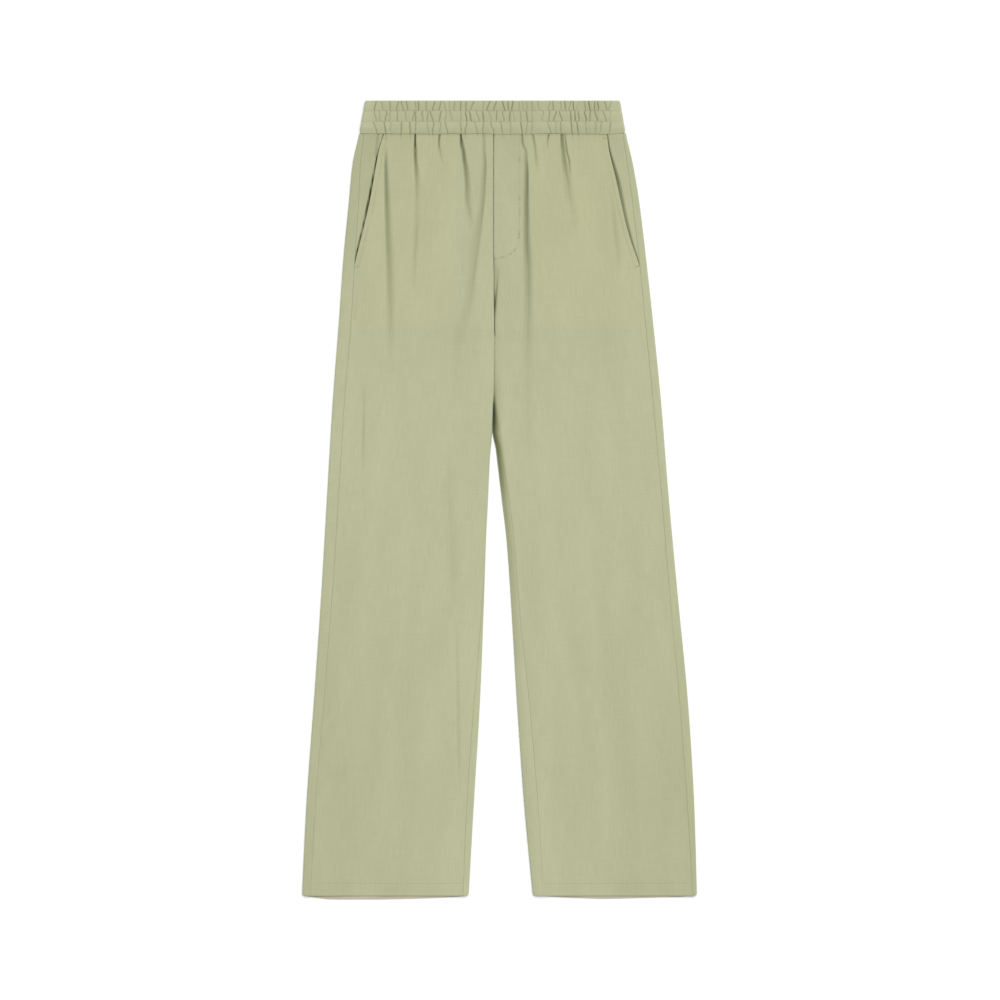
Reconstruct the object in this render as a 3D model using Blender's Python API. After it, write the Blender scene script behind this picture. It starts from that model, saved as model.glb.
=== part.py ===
"""Wide-leg trousers with an elastic waist, laid flat and face up, built from their cut and sewn pieces.

The scene is in metres: +Z is up off the surface that the garment lies on, +Y points to the waist, and +X
to the right of someone who looks down on it. The origin is the middle of the footprint, on the surface.
The sizes below are in millimetres. "Down" is the distance below the waist's top edge. "Across" is counted
from the centre-front seam, negative to the left.

The back panels lie on the surface. They are wider than the fronts, so they turn up round both folds of
their leg and lap onto its top, where the side seam and the inseam lie a little inside the folds. The
fronts lie over them, and a pocket bag lies between, with its facing bare in the slanted opening.
"""

import math
import random
from bisect import bisect_right
from collections import namedtuple

import bmesh
import bpy

MM = 0.001
SIDES = ("left", "right")
OUTWARD = {"left": -1, "right": 1}

# Depths down the garment.
STITCH_ROWS = (14.0, 28.0)
BAND_DEPTH = 43.7
CROTCH = 306.0
HEM = 1038.0

# The cloth, and how its layers lie on each other.
CLOTH = 1.3
SEAM_GAP = 0.3
FOLD_HEIGHT = 4.4
FOLD_RADIUS = FOLD_HEIGHT / 2
CENTRE_FRONT_HEIGHT = 5.2
LOWEST_TOP = 4.3
HEM_CORNER = 1.5
HEM_CORNER_DEPTH = 4.0
CURL_DEPTH = 24.0
SHORTEST_LAP = 0.4
FOLD_STEPS = 4

# Where each leg's folds lie. The outer folds run from the waist to the hem, the inner ones from the crotch.
Pair = namedtuple("Pair", "down left right")
OUTER_FOLDS = (
    Pair(0, -167.5, 165.0),
    Pair(44, -175.5, 173.0),
    Pair(80, -183.5, 181.5),
    Pair(130, -188.5, 190.0),
    Pair(208, -196.0, 199.5),
    Pair(286, -201.5, 208.0),
    Pair(390, -209.5, 218.5),
    Pair(520, -217.3, 229.0),
    Pair(650, -225.0, 241.0),
    Pair(780, -234.0, 253.5),
    Pair(910, -243.5, 261.7),
    Pair(HEM, -250.0, 265.7),
)
INNER_FOLDS = (
    Pair(CROTCH, -0.2, 0.2),
    Pair(390, -0.5, 1.2),
    Pair(434, -1.8, 2.0),
    Pair(469, -4.6, 4.6),
    Pair(521, -7.2, 11.0),
    Pair(573, -9.8, 17.2),
    Pair(651, -12.4, 22.8),
    Pair(782, -17.6, 30.7),
    Pair(912, -25.4, 39.8),
    Pair(HEM, -32.5, 51.5),
)
POCKET_OPENINGS = (
    Pair(44, -143.5, 148.0),
    Pair(70, -151.5, 153.0),
    Pair(118, -160.7, 166.0),
    Pair(150, -167.0, 174.3),
    Pair(192, -176.3, 183.5),
    Pair(216, -181.7, 190.5),
)
POCKET_END = POCKET_OPENINGS[-1].down

# How far each seam lies inside its fold.
SeamInsets = namedtuple("SeamInsets", "down left_side left_inseam right_inseam right_side")
SEAM_INSETS = (
    SeamInsets(44, 6.0, 2.8, 2.8, 4.0),
    SeamInsets(80, 10.0, 2.8, 2.8, 7.3),
    SeamInsets(130, 12.5, 2.8, 2.8, 9.0),
    SeamInsets(216, 15.0, 2.8, 2.8, 9.4),
    SeamInsets(320, 15.5, 2.8, 2.8, 10.5),
    SeamInsets(390, 15.0, 2.8, 3.0, 10.5),
    SeamInsets(450, 15.0, 2.8, 5.5, 10.0),
    SeamInsets(520, 14.7, 2.8, 9.1, 9.3),
    SeamInsets(600, 14.5, 2.9, 9.2, 10.0),
    SeamInsets(690, 13.5, 3.4, 11.0, 10.8),
    SeamInsets(800, 12.5, 8.0, 16.2, 11.0),
    SeamInsets(930, 11.7, 9.0, 17.5, 9.0),
    SeamInsets(HEM, 11.0, 7.5, 13.0, 5.5),
)

# How far the fronts crown above their edges, and the folds that run down from the gathered waist.
Crown = namedtuple("Crown", "down height")
CROWNS = (
    Crown(44, 1.5),
    Crown(90, 2.0),
    Crown(300, 2.0),
    Crown(434, 1.3),
    Crown(650, 1.0),
    Crown(HEM, 0.2),
)
Fold = namedtuple("Fold", "side width depth path")
FoldPoint = namedtuple("FoldPoint", "down across")
FOLDS = (
    Fold("left", 3.8, 1.7, (FoldPoint(78, -139.0), FoldPoint(185, -138.0), FoldPoint(345, -135.0))),
    Fold("left", 3.4, 2.3, (FoldPoint(40, -100.5), FoldPoint(132, -100.0), FoldPoint(240, -98.5))),
    Fold("left", 2.8, 1.2, (FoldPoint(40, -70.0), FoldPoint(64, -71.0), FoldPoint(90, -66.0))),
    Fold("left", 3.2, 2.0, (FoldPoint(40, -43.5), FoldPoint(74, -38.0), FoldPoint(190, -28.5))),
    Fold(
        "left",
        3.6,
        1.5,
        (FoldPoint(48, -13.5), FoldPoint(132, -16.5), FoldPoint(213, -30.0), FoldPoint(390, -52.0)),
    ),
    Fold(
        "right",
        4.0,
        2.1,
        (FoldPoint(40, 42.5), FoldPoint(75, 41.5), FoldPoint(257, 43.5), FoldPoint(430, 47.0)),
    ),
    Fold("right", 2.8, 1.2, (FoldPoint(40, 50.5), FoldPoint(66, 55.0), FoldPoint(92, 61.0))),
    Fold("right", 2.8, 1.1, (FoldPoint(40, 73.0), FoldPoint(56, 71.5), FoldPoint(76, 71.0))),
    Fold("right", 3.4, 2.0, (FoldPoint(40, 91.0), FoldPoint(71, 95.5), FoldPoint(190, 108.5))),
    Fold("right", 3.8, 0.9, (FoldPoint(112, 146.0), FoldPoint(150, 153.0), FoldPoint(230, 163.0))),
)
FOLD_FADE = 0.45  # the share of its length over which a fold dies away at its foot
FOLD_START = 8.0
POCKET_GAPE = {"left": 0.3, "right": 1.0}
FOLLOW_FOLDS_TO = 250.0
EVEN_COLUMNS_FROM = 430.0
COLUMN_STEP = 1.6
FILL_STEP = 15.0

# How far the back hem slips out below the front one, over which share of each leg's width.
HemSlip = namedtuple("HemSlip", "drop start end")
HEM_SLIPS = {"left": HemSlip(4.5, 0.15, 0.87), "right": HemSlip(2.8, 0.25, 0.75)}

# The depths at which the panels' sections are taken, close together at the waist and the crotch.
PANEL_DEPTHS = (
    [BAND_DEPTH + SEAM_GAP, 50, 58, 68, 80, 95, 112, 130, 150, 172, 194, POCKET_END, 240, 266, 286]
    + [CROTCH + CURL_DEPTH * (step / 4 - 0.5) for step in range(5)]
    + [345, 372, 402, 434, 469, 521, 573, 651, 720, 782, 850, 912, 975, 1015]
    + [HEM - HEM_CORNER_DEPTH, HEM]
)

# The pocket bags, flat between the front and the back.
BAG_THICKNESS = 1.1
BAG_TUCK = 1.5
BAG_BOTTOM = 299.0
BAG_INNER_EDGE = 50.0
BAG_CORNER = 36.0
BAG_CORNER_STEPS = 6

# The gathered band. Every gather is a tight valley and a round ridge, and differs from channel to channel.
BAND_HEIGHT = 6.4
BAND_WALL = 2.3
GATHERS = 38
GatherPoint = namedtuple("GatherPoint", "share height")
GATHER_PROFILE = (
    GatherPoint(0.0, -1.0),
    GatherPoint(0.16, 0.3),
    GatherPoint(0.5, 1.0),
    GatherPoint(0.84, 0.3),
)
LEAST_GATHER = 0.35
GATHER_WIDTHS = (0.55, 1.45)
PLAIN_END_SHARE = 0.05
GATHER_HEIGHT = 0.9
STITCHED_SHARE = 0.3
GATHER_SLANT = 0.12
CHANNEL_PUFF = 0.9
RIM_ROUNDING = 0.9
RIM_DEPTH = 1.5
SEED = 11

GARMENT_LENGTH = HEM + max(slip.drop for slip in HEM_SLIPS.values())
MIDDLE_ACROSS = 7.9  # of the hem's two outer corners

LINEN = (0.47, 0.49, 0.30, 1.0)
LINEN_ROUGHNESS = 0.9
CREASE_ANGLE = math.radians(50)


def place(across, down, height):
    """A point of the garment in the scene's metres."""
    return (
        (across - MIDDLE_ACROSS) * MM,
        (GARMENT_LENGTH / 2 - down) * MM,
        height * MM,
    )


def ease(value, start, end):
    """0 before start, 1 after end, and a smooth rise between."""
    share = min(max((value - start) / (end - start), 0.0), 1.0)
    return share * share * (3 - 2 * share)


def read_curve(rows, down, column):
    """A table's column at any depth, on a smooth curve through its rows."""
    downs = [row.down for row in rows]
    values = [getattr(row, column) for row in rows]
    if down <= downs[0]:
        return values[0]
    if down >= downs[-1]:
        return values[-1]
    k = bisect_right(downs, down) - 1

    def slope(i):
        low = max(i - 1, 0)
        high = min(i + 1, len(rows) - 1)
        return (values[high] - values[low]) / (downs[high] - downs[low])

    step = downs[k + 1] - downs[k]
    t = (down - downs[k]) / step
    return (
        values[k] * (1 + 2 * t) * (1 - t) ** 2
        + slope(k) * step * t * (1 - t) ** 2
        + values[k + 1] * t * t * (3 - 2 * t)
        + slope(k + 1) * step * t * t * (t - 1)
    )


def curl(down):
    """How far the back's inner edge has turned up: 0 above the crotch, on the seat seam, and 1 below."""
    return ease(down, CROTCH - CURL_DEPTH / 2, CROTCH + CURL_DEPTH / 2)


def outer_fold(side, down):
    corner = HEM_CORNER * max(0.0, (down - HEM + HEM_CORNER_DEPTH) / HEM_CORNER_DEPTH) ** 2
    return read_curve(OUTER_FOLDS, down, side) - OUTWARD[side] * corner


def inner_fold(side, down):
    """The leg's inner fold, or half a seam gap from the centre line above the crotch."""
    return read_curve(INNER_FOLDS, down, side)


def seam_inset(side, seam, down):
    return read_curve(SEAM_INSETS, down, f"{side}_{seam}")


def front_edges(side, down):
    """Across positions of a front's outer edge, on the pocket opening or side seam, and its inner edge."""
    outward = OUTWARD[side]
    outer = outer_fold(side, down) - outward * (seam_inset(side, "side", down) + SEAM_GAP / 2)
    if down < POCKET_END:
        outer = read_curve(POCKET_OPENINGS, down, side)
    inset = seam_inset(side, "inseam", down) + SEAM_GAP / 2
    inner = inner_fold(side, down) + outward * inset * ease(down, CROTCH - CURL_DEPTH, CROTCH)
    return outer, inner


def fold_across(fold, down):
    return read_curve(fold.path, down, "across")


def fold_depth(fold, across, down):
    """How deep a fold dips at a point: a soft trough that dies away towards its foot."""
    head = fold.path[0].down
    foot = fold.path[-1].down
    strength = ease(down, head - FOLD_START, head) * (1 - ease(down, foot - FOLD_FADE * (foot - head), foot))
    offset = (across - fold_across(fold, down)) / fold.width
    return fold.depth * strength * math.exp(-offset * offset)


def front_height(side, across, down):
    """The height of a front's outer face."""
    outer, inner = front_edges(side, down)
    share = min(max((across - outer) / (inner - outer), 0.0), 1.0)
    gape = POCKET_GAPE[side] * math.sin(math.pi * ease(down, BAND_DEPTH, POCKET_END))
    outer_height = FOLD_HEIGHT + gape
    inner_height = CENTRE_FRONT_HEIGHT + (FOLD_HEIGHT - CENTRE_FRONT_HEIGHT) * curl(down)
    height = outer_height + (inner_height - outer_height) * share
    height += read_curve(CROWNS, down, "height") * math.sin(math.pi * share)
    height -= sum(fold_depth(fold, across, down) for fold in FOLDS if fold.side == side)
    return max(height, LOWEST_TOP)


def anchors(side, down):
    """A front's edges with a column on the middle and both shoulders of each fold between, kept in order."""
    edges = sorted(front_edges(side, down))
    places = [edges[0]]
    for fold in FOLDS:
        if fold.side == side:
            middle = fold_across(fold, down)
            places += [middle - fold.width, middle, middle + fold.width]
    places.append(edges[1])
    for k in range(1, len(places)):
        places[k] = max(places[k], places[k - 1] + COLUMN_STEP)
    places[-1] = edges[1]
    for k in range(len(places) - 2, 0, -1):
        places[k] = min(places[k], places[k + 1] - COLUMN_STEP)
    return places


def front_columns(side, down):
    """Across positions of a front's columns: on its folds near the waist, and evenly spread down the leg."""
    waist = anchors(side, PANEL_DEPTHS[0])
    fills = [int((after - before) / FILL_STEP) for before, after in zip(waist, waist[1:])]
    followed = anchors(side, down)
    columns = [followed[0]]
    for before, after, fill in zip(followed, followed[1:], fills):
        columns += [before + (after - before) * (k + 1) / (fill + 1) for k in range(fill + 1)]
    relaxed = ease(down, FOLLOW_FOLDS_TO, EVEN_COLUMNS_FROM)
    width = columns[-1] - columns[0]
    even = [columns[0] + width * k / (len(columns) - 1) for k in range(len(columns))]
    return [a + (b - a) * relaxed for a, b in zip(columns, even)]


def front_section(side, down):
    """Outer and inner points of a front across the garment."""
    outer = [(across, front_height(side, across, down)) for across in front_columns(side, down)]
    inner = [(across, height - CLOTH) for across, height in outer]
    outer = [place(across, down, height) for across, height in outer]
    return outer, [place(across, down, height) for across, height in inner]


def turned_edge(turn, lap):
    """Outer and inner points of a panel's edge that turns up by so many half turns and then laps on.

    They are (distance, height) from where the turn begins. A turn of 0 leaves the same cloth flat.
    """
    cloth_length = math.pi * FOLD_RADIUS
    end_angle = math.pi * turn
    outer = []
    inner = []
    for step in range(FOLD_STEPS + 1):
        angle = end_angle * step / FOLD_STEPS
        run = cloth_length * step / FOLD_STEPS
        if turn > 0:
            run = cloth_length / end_angle * math.sin(angle)
            rise = cloth_length / end_angle * (1 - math.cos(angle))
        else:
            rise = 0.0
        outer.append((run, rise))
        inner.append((run - CLOTH * math.sin(angle), rise + CLOTH * math.cos(angle)))
    for points in (outer, inner):
        run, rise = points[-1]
        points.append((run + lap * math.cos(end_angle), rise + lap * math.sin(end_angle)))
    return outer, inner


def back_section(side, down):
    """Outer and inner points of a back: up round the outer fold, over the surface, up round the inner one."""
    outward = OUTWARD[side]
    start = outer_fold(side, down)
    width = abs(inner_fold(side, down) - start)
    turn = curl(down)
    side_lap = seam_inset(side, "side", down) - FOLD_RADIUS - SEAM_GAP / 2
    inner_lap = (seam_inset(side, "inseam", down) - FOLD_RADIUS - SEAM_GAP / 2) * turn * turn
    outer_end = turned_edge(1.0, max(side_lap, SHORTEST_LAP))
    inner_end = turned_edge(turn, max(inner_lap, SHORTEST_LAP))
    reach = max(run for run, rise in inner_end[0])
    slip = HEM_SLIPS[side]
    middle = (slip.start, (slip.start + slip.end) / 2, slip.end)
    dropped = slip.drop if down == HEM else 0.0
    faces = []
    for first, last, height in zip(outer_end, inner_end, (0.0, CLOTH)):
        points = [(FOLD_RADIUS - run, rise, 0.0) for run, rise in reversed(first)]
        points += [(width * share, height, dropped) for share in middle]
        points += [(width - reach + run, rise, 0.0) for run, rise in last]
        faces.append([place(start - outward * run, down + drop, rise) for run, rise, drop in points])
    return faces


def cap(mesh, outer, inner):
    for k in range(len(outer) - 1):
        mesh.faces.new((outer[k], outer[k + 1], inner[k + 1], inner[k]))


def skin(mesh, ring, following):
    for k in range(len(ring)):
        mesh.faces.new((ring[k - 1], ring[k], following[k], following[k - 1]))


def linen(name):
    """A piece's own matt linen."""
    material = bpy.data.materials.new(f"{name}_linen")
    material.use_nodes = True
    shader = material.node_tree.nodes["Principled BSDF"]
    shader.inputs["Base Color"].default_value = LINEN
    shader.inputs["Roughness"].default_value = LINEN_ROUGHNESS
    shader.inputs["Metallic"].default_value = 0.0
    return material


def finish_object(name, mesh, collection):
    """Closes a bmesh into a named object, faces outward and smooth."""
    bmesh.ops.recalc_face_normals(mesh, faces=mesh.faces)
    data = bpy.data.meshes.new(name)
    mesh.to_mesh(data)
    mesh.free()
    data.shade_smooth()
    data.set_sharp_from_angle(angle=CREASE_ANGLE)
    data.materials.append(linen(name))
    piece = bpy.data.objects.new(name, data)
    collection.objects.link(piece)
    return piece


def cloth_panel(name, sections, collection):
    """A wall of cloth lofted through sections that each give its outer and inner points."""
    mesh = bmesh.new()
    walls = []
    for outer_points, inner_points in sections:
        outer = [mesh.verts.new(point) for point in outer_points]
        inner = [mesh.verts.new(point) for point in inner_points]
        walls.append((outer, inner))
    rings = [outer + inner[::-1] for outer, inner in walls]
    for ring, following in zip(rings, rings[1:]):
        skin(mesh, ring, following)
    cap(mesh, *walls[0])
    cap(mesh, *walls[-1])
    return finish_object(name, mesh, collection)


def band_rows():
    """Depths of the band's rows, each with its channel and its place between that channel's stitch rows."""
    lines = (0.0, *STITCH_ROWS, BAND_DEPTH)
    depths = {*lines, RIM_DEPTH, BAND_DEPTH - RIM_DEPTH}
    depths |= {(top + bottom) / 2 for top, bottom in zip(lines, lines[1:])}
    rows = []
    for down in sorted(depths):
        channel = min(bisect_right(lines, down) - 1, len(STITCH_ROWS))
        rows.append((down, channel, (down - lines[channel]) / (lines[channel + 1] - lines[channel])))
    return rows


def gather_places(randomizer):
    """Uneven places of the gathers' edges, as shares of the band's width between its plain ends."""
    widths = [randomizer.uniform(*GATHER_WIDTHS) for _ in range(GATHERS)]
    reached = [sum(widths[:k]) / sum(widths) for k in range(GATHERS + 1)]
    return [PLAIN_END_SHARE + (1 - 2 * PLAIN_END_SHARE) * share for share in reached]


def gather_relief(row, gather_height, strengths):
    """How far the band's outer face stands out at a row, on one point of a gather's profile."""
    down, channel, share = row
    bulge = math.sin(math.pi * share)
    pinched = STITCHED_SHARE + (1 - STITCHED_SHARE) * bulge
    relief = CHANNEL_PUFF * bulge + gather_height * strengths[channel] * GATHER_HEIGHT * pinched
    if down in (0.0, BAND_DEPTH):
        relief -= RIM_ROUNDING
    return relief


def plain(row):
    return 0.0


def band_station(share, angle, relief_of=plain, slants=(0.0, 0.0, 0.0)):
    """One closed section of the band's wall, at a share of its width and an angle round its folded end."""
    radius = BAND_HEIGHT / 2
    points = []
    for row in band_rows():
        down, channel, _ = row
        points.append((down, share + slants[channel], radius + relief_of(row)))
    points += [(down, share, radius - BAND_WALL) for down in (BAND_DEPTH, 0.0)]
    section = []
    for down, reached, reach in points:
        left = outer_fold("left", down) + radius
        right = outer_fold("right", down) - radius
        across = left + (right - left) * reached + reach * math.cos(angle)
        section.append(place(across, down, radius + reach * math.sin(angle)))
    return section


def gathered_stations():
    """The band's sections over its gathered top, from left to right."""
    randomizer = random.Random(SEED)
    places = gather_places(randomizer)
    channels = range(len(STITCH_ROWS) + 1)
    stations = []
    for start, end in zip(places, places[1:]):
        strengths = [randomizer.uniform(LEAST_GATHER, 1.0) for _ in channels]
        slants = [(end - start) * randomizer.uniform(-GATHER_SLANT, GATHER_SLANT) for _ in channels]
        for point in GATHER_PROFILE:
            stations.append(
                band_station(
                    start + (end - start) * point.share,
                    math.pi / 2,
                    lambda row: gather_relief(row, point.height, strengths),
                    slants,
                )
            )
    return stations


def build_waistband(collection):
    """The flattened ring: gathered over the top, plain where it lies on the surface and inside."""
    up = math.pi / 2
    sections = [band_station(0.0, up)]
    sections += gathered_stations()
    turn = [math.pi * step / FOLD_STEPS for step in range(FOLD_STEPS + 1)]
    sections += [band_station(1.0, up - angle) for angle in turn]
    sections.append(band_station(0.5, -up))
    sections += [band_station(0.0, -up - angle) for angle in turn[:-1]]
    mesh = bmesh.new()
    rings = [[mesh.verts.new(point) for point in section] for section in sections]
    for ring, following in zip(rings, rings[1:] + rings[:1]):
        skin(mesh, ring, following)
    return finish_object("waistband", mesh, collection)


def pocket_outline(side):
    """The bag's outline: down the side seam, along the bottom, round its corner and up the inner edge."""
    outward = OUTWARD[side]
    depths = [down for down in PANEL_DEPTHS if down < BAG_BOTTOM - BAG_CORNER / 2]
    outline = []
    for down in [*depths, BAG_BOTTOM]:
        inset = seam_inset(side, "side", down) - BAG_TUCK
        outline.append((outer_fold(side, down) - outward * inset, down))
    centre_across = outward * (BAG_INNER_EDGE + BAG_CORNER)
    centre_down = BAG_BOTTOM - BAG_CORNER
    for step in range(BAG_CORNER_STEPS + 1):
        angle = math.pi / 2 * step / BAG_CORNER_STEPS
        across = centre_across - outward * BAG_CORNER * math.sin(angle)
        outline.append((across, centre_down + BAG_CORNER * math.cos(angle)))
    outline.append((outward * BAG_INNER_EDGE, PANEL_DEPTHS[0]))
    return outline


def build_pocket(side, collection):
    """A flat pocket bag with its facing, just over the back panel."""
    name = f"pocket_{side}"
    curve = bpy.data.curves.new(name, "CURVE")
    curve.dimensions = "2D"
    curve.fill_mode = "BOTH"
    curve.extrude = BAG_THICKNESS / 2 * MM
    outline = pocket_outline(side)
    spline = curve.splines.new("POLY")
    spline.points.add(len(outline) - 1)
    for point, (across, down) in zip(spline.points, outline):
        point.co = (*place(across, down, 0.0), 1.0)
    spline.use_cyclic_u = True
    curve.materials.append(linen(name))
    piece = bpy.data.objects.new(name, curve)
    piece.location.z = (CLOTH + SEAM_GAP + BAG_THICKNESS / 2) * MM
    collection.objects.link(piece)
    return piece


def clear_scene():
    for old in list(bpy.data.objects):
        bpy.data.objects.remove(old, do_unlink=True)


def main():
    clear_scene()
    trousers = bpy.data.collections.new("wide_leg_trousers")
    bpy.context.scene.collection.children.link(trousers)
    build_waistband(trousers)
    for side in SIDES:
        cloth_panel(f"front_{side}", [front_section(side, down) for down in PANEL_DEPTHS], trousers)
        cloth_panel(f"back_{side}", [back_section(side, down) for down in PANEL_DEPTHS], trousers)
        build_pocket(side, trousers)


main()
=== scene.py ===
"""The looks of the wide-leg trousers, laid flat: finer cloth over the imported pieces, with its folds, gathers,
seams, thread and linen, on a pale floor under soft light.

Sizes are in millimetres. "Down" is the distance below the waist's top edge. "Across" is counted from the
centre-front seam, negative to the left of someone who looks down on the garment. "Height" is above the floor.
The rows of a grid of points go down the garment, and its columns go across.
"""

import math
from collections import namedtuple
from functools import partial

import bpy
import numpy as np
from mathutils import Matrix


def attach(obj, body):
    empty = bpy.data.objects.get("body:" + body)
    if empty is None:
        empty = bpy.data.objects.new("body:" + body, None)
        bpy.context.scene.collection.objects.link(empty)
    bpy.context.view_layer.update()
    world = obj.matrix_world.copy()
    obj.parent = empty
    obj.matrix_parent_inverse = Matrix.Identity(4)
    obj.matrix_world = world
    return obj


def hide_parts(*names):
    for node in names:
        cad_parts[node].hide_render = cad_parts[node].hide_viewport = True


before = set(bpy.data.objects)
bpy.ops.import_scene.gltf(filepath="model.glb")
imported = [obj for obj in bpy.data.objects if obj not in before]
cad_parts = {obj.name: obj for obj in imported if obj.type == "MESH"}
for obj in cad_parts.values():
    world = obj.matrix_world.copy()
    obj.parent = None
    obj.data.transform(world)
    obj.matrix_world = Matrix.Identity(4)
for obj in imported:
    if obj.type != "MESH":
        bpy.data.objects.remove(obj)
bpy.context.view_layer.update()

MM = 0.001
SIDES = ("left", "right")
OUTWARD = {"left": -1, "right": 1}


def table(columns, *rows):
    """A table's columns by name, of which the first is the depth down the garment."""
    return dict(zip(["down", *columns.split()], np.array(rows, float).T))


# Depths down the garment.
STITCH_ROWS = (14.0, 28.0)
BAND_DEPTH = 43.7
STITCH_START = 46.0
POCKET_END = 216.0
CROTCH = 306.0
HEM = 1038.0
HEM_TURN = 16.5

# The cloth, and how its layers lie on each other.
CLOTH = 0.7
HEM_LAYER = 0.6
HEM_STEP = 1.0
SEAM_GAP = 0.1
FOLD_HEIGHT = 4.4
CENTRE_FRONT_HEIGHT = 5.4
LOWEST_TOP = 2.3
LOWEST_OVER_BAG = 2.9
SETTLING = 0.25
HEM_CORNER = 4.0
CURL_DEPTH = 24.0
EDGE_ROLL = 0.5
SEAM_ROLL = 0.35
SEAM_FADE = 0.2
HEM_ROLL = 0.5
BACK_SEAM_ROLLS = (0.25, 0.06)

# Where each leg's folds lie, and the edges of the pocket openings.
OUTER_FOLDS = table(
    "left right",
    (0, -167.5, 165), (44, -175.5, 173), (80, -183.5, 181.5), (130, -188.5, 190), (208, -196, 199.5),
    (286, -201.5, 208), (390, -209.5, 218.5), (520, -217.3, 229), (650, -225, 241), (780, -234, 253.5),
    (910, -243.5, 261.7), (HEM, -250, 265.7),
)
INNER_FOLDS = table(
    "left right",
    (44, -0.08, 0.08), (200, -0.08, 0.08), (227, 0.42, 0.58), (247, 0.32, 0.48), (267, 0.4, 0.56),
    (286, 0.85, 1), (306, 1.48, 1.55), (340, 1.24, 1.31), (370, 0.89, 0.96), (384, 0.37, 0.46),
    (397, -0.6, -0.45), (410, -1, -0.85), (423, -1.6, -1.4), (433, -2, -1.4), (442, -2.5, 0.3),
    (452, -3.4, 2.6), (469, -4.9, 4.8), (521, -7.2, 11), (573, -9.8, 17.2), (651, -12.4, 22.8),
    (782, -17.6, 30.7), (912, -25.4, 39.8), (HEM, -32.5, 51.5),
)
POCKET_OPENINGS = table(
    "left right",
    (44, -143.2, 148), (64, -149.4, 150.7), (84, -153.2, 155.3), (103, -156.5, 159.9), (130, -161.4, 165.8),
    (149, -165.6, 169.9), (169, -170.3, 175), (188, -175.1, 180.8), (205, -179.2, 187),
    (POCKET_END, -181.7, 190.5),
)

# How far each seam lies inside its fold, how steeply the leg's edge falls to the fold, and over which reach.
SEAMS = "left_side left_inseam right_inseam right_side"
SEAM_INSETS = table(
    SEAMS,
    (44, 6, 0.6, 0.6, 4), (80, 10, 0.6, 0.6, 7.3), (130, 12.5, 0.6, 0.6, 9), (216, 15, 0.6, 0.6, 9.4),
    (320, 15.5, 0.6, 0.6, 10.5), (400, 15, 0.6, 0.6, 10.5), (430, 15, 0.6, 2, 10.2),
    (452, 15, 0.6, 5.5, 10), (520, 14.7, 0.6, 9.1, 9.3), (600, 14.5, 0.8, 9.2, 10),
    (650, 14, 2.2, 10.2, 10.4), (690, 13.5, 3.4, 11, 10.8), (800, 12.5, 8, 16.2, 11),
    (930, 11.7, 9, 17.5, 9), (HEM, 11, 7.5, 13, 5.5),
)
EDGE_TILTS = table(
    SEAMS,
    (44, 4, 0, 0, 4), (130, 9, 0, 0, 7), (330, 9, 4, 12, 7), (380, 9, 5, 16, 7), (400, 9, 5, 42, 7),
    (430, 9, 5, 50, 7), (446, 9, 5, 45, 7), (466, 9, 6, 34, 7), (495, 9, 6, 30, 7), (560, 9, 6, 24, 7),
    (650, 8, 6, 19, 6), (780, 7, 6, 13, 6), (HEM, 5, 4, 6, 4),
)
EDGE_REACHES = table(
    SEAMS,
    (44, 12, 14, 14, 12), (380, 12, 14, 12, 12), (400, 12, 14, 4.5, 12), (430, 12, 14, 5.6, 12),
    (446, 12, 14, 6, 12), (466, 12, 14, 9, 12), (495, 12, 14, 10, 12), (560, 12, 14, 12, 12),
    (780, 12, 14, 14, 12), (HEM, 12, 14, 14, 12),
)

# How far the fronts crown above their edges, and rise over the pocket bags and to the band.
CROWNS = table(
    "height",
    (44, 2), (90, 2.9), (300, 2.8), (434, 1.8), (650, 1.2), (HEM - 90, 0.7), (HEM - 30, -0.5), (HEM, -2.1),
)
CROWN_FULLNESS = 0.55
BAG_RELIEF = 0.15
PANEL_LIFT = 0.8
PANEL_LIFT_REACH = 9.0
LIFT_FROM_FOLD = (2.0, 14.0)


def fold(*rows):
    """A fold's course down the garment, with its half-widths to the left and right of its bottom."""
    return table("across left right depth", *rows)


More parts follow.
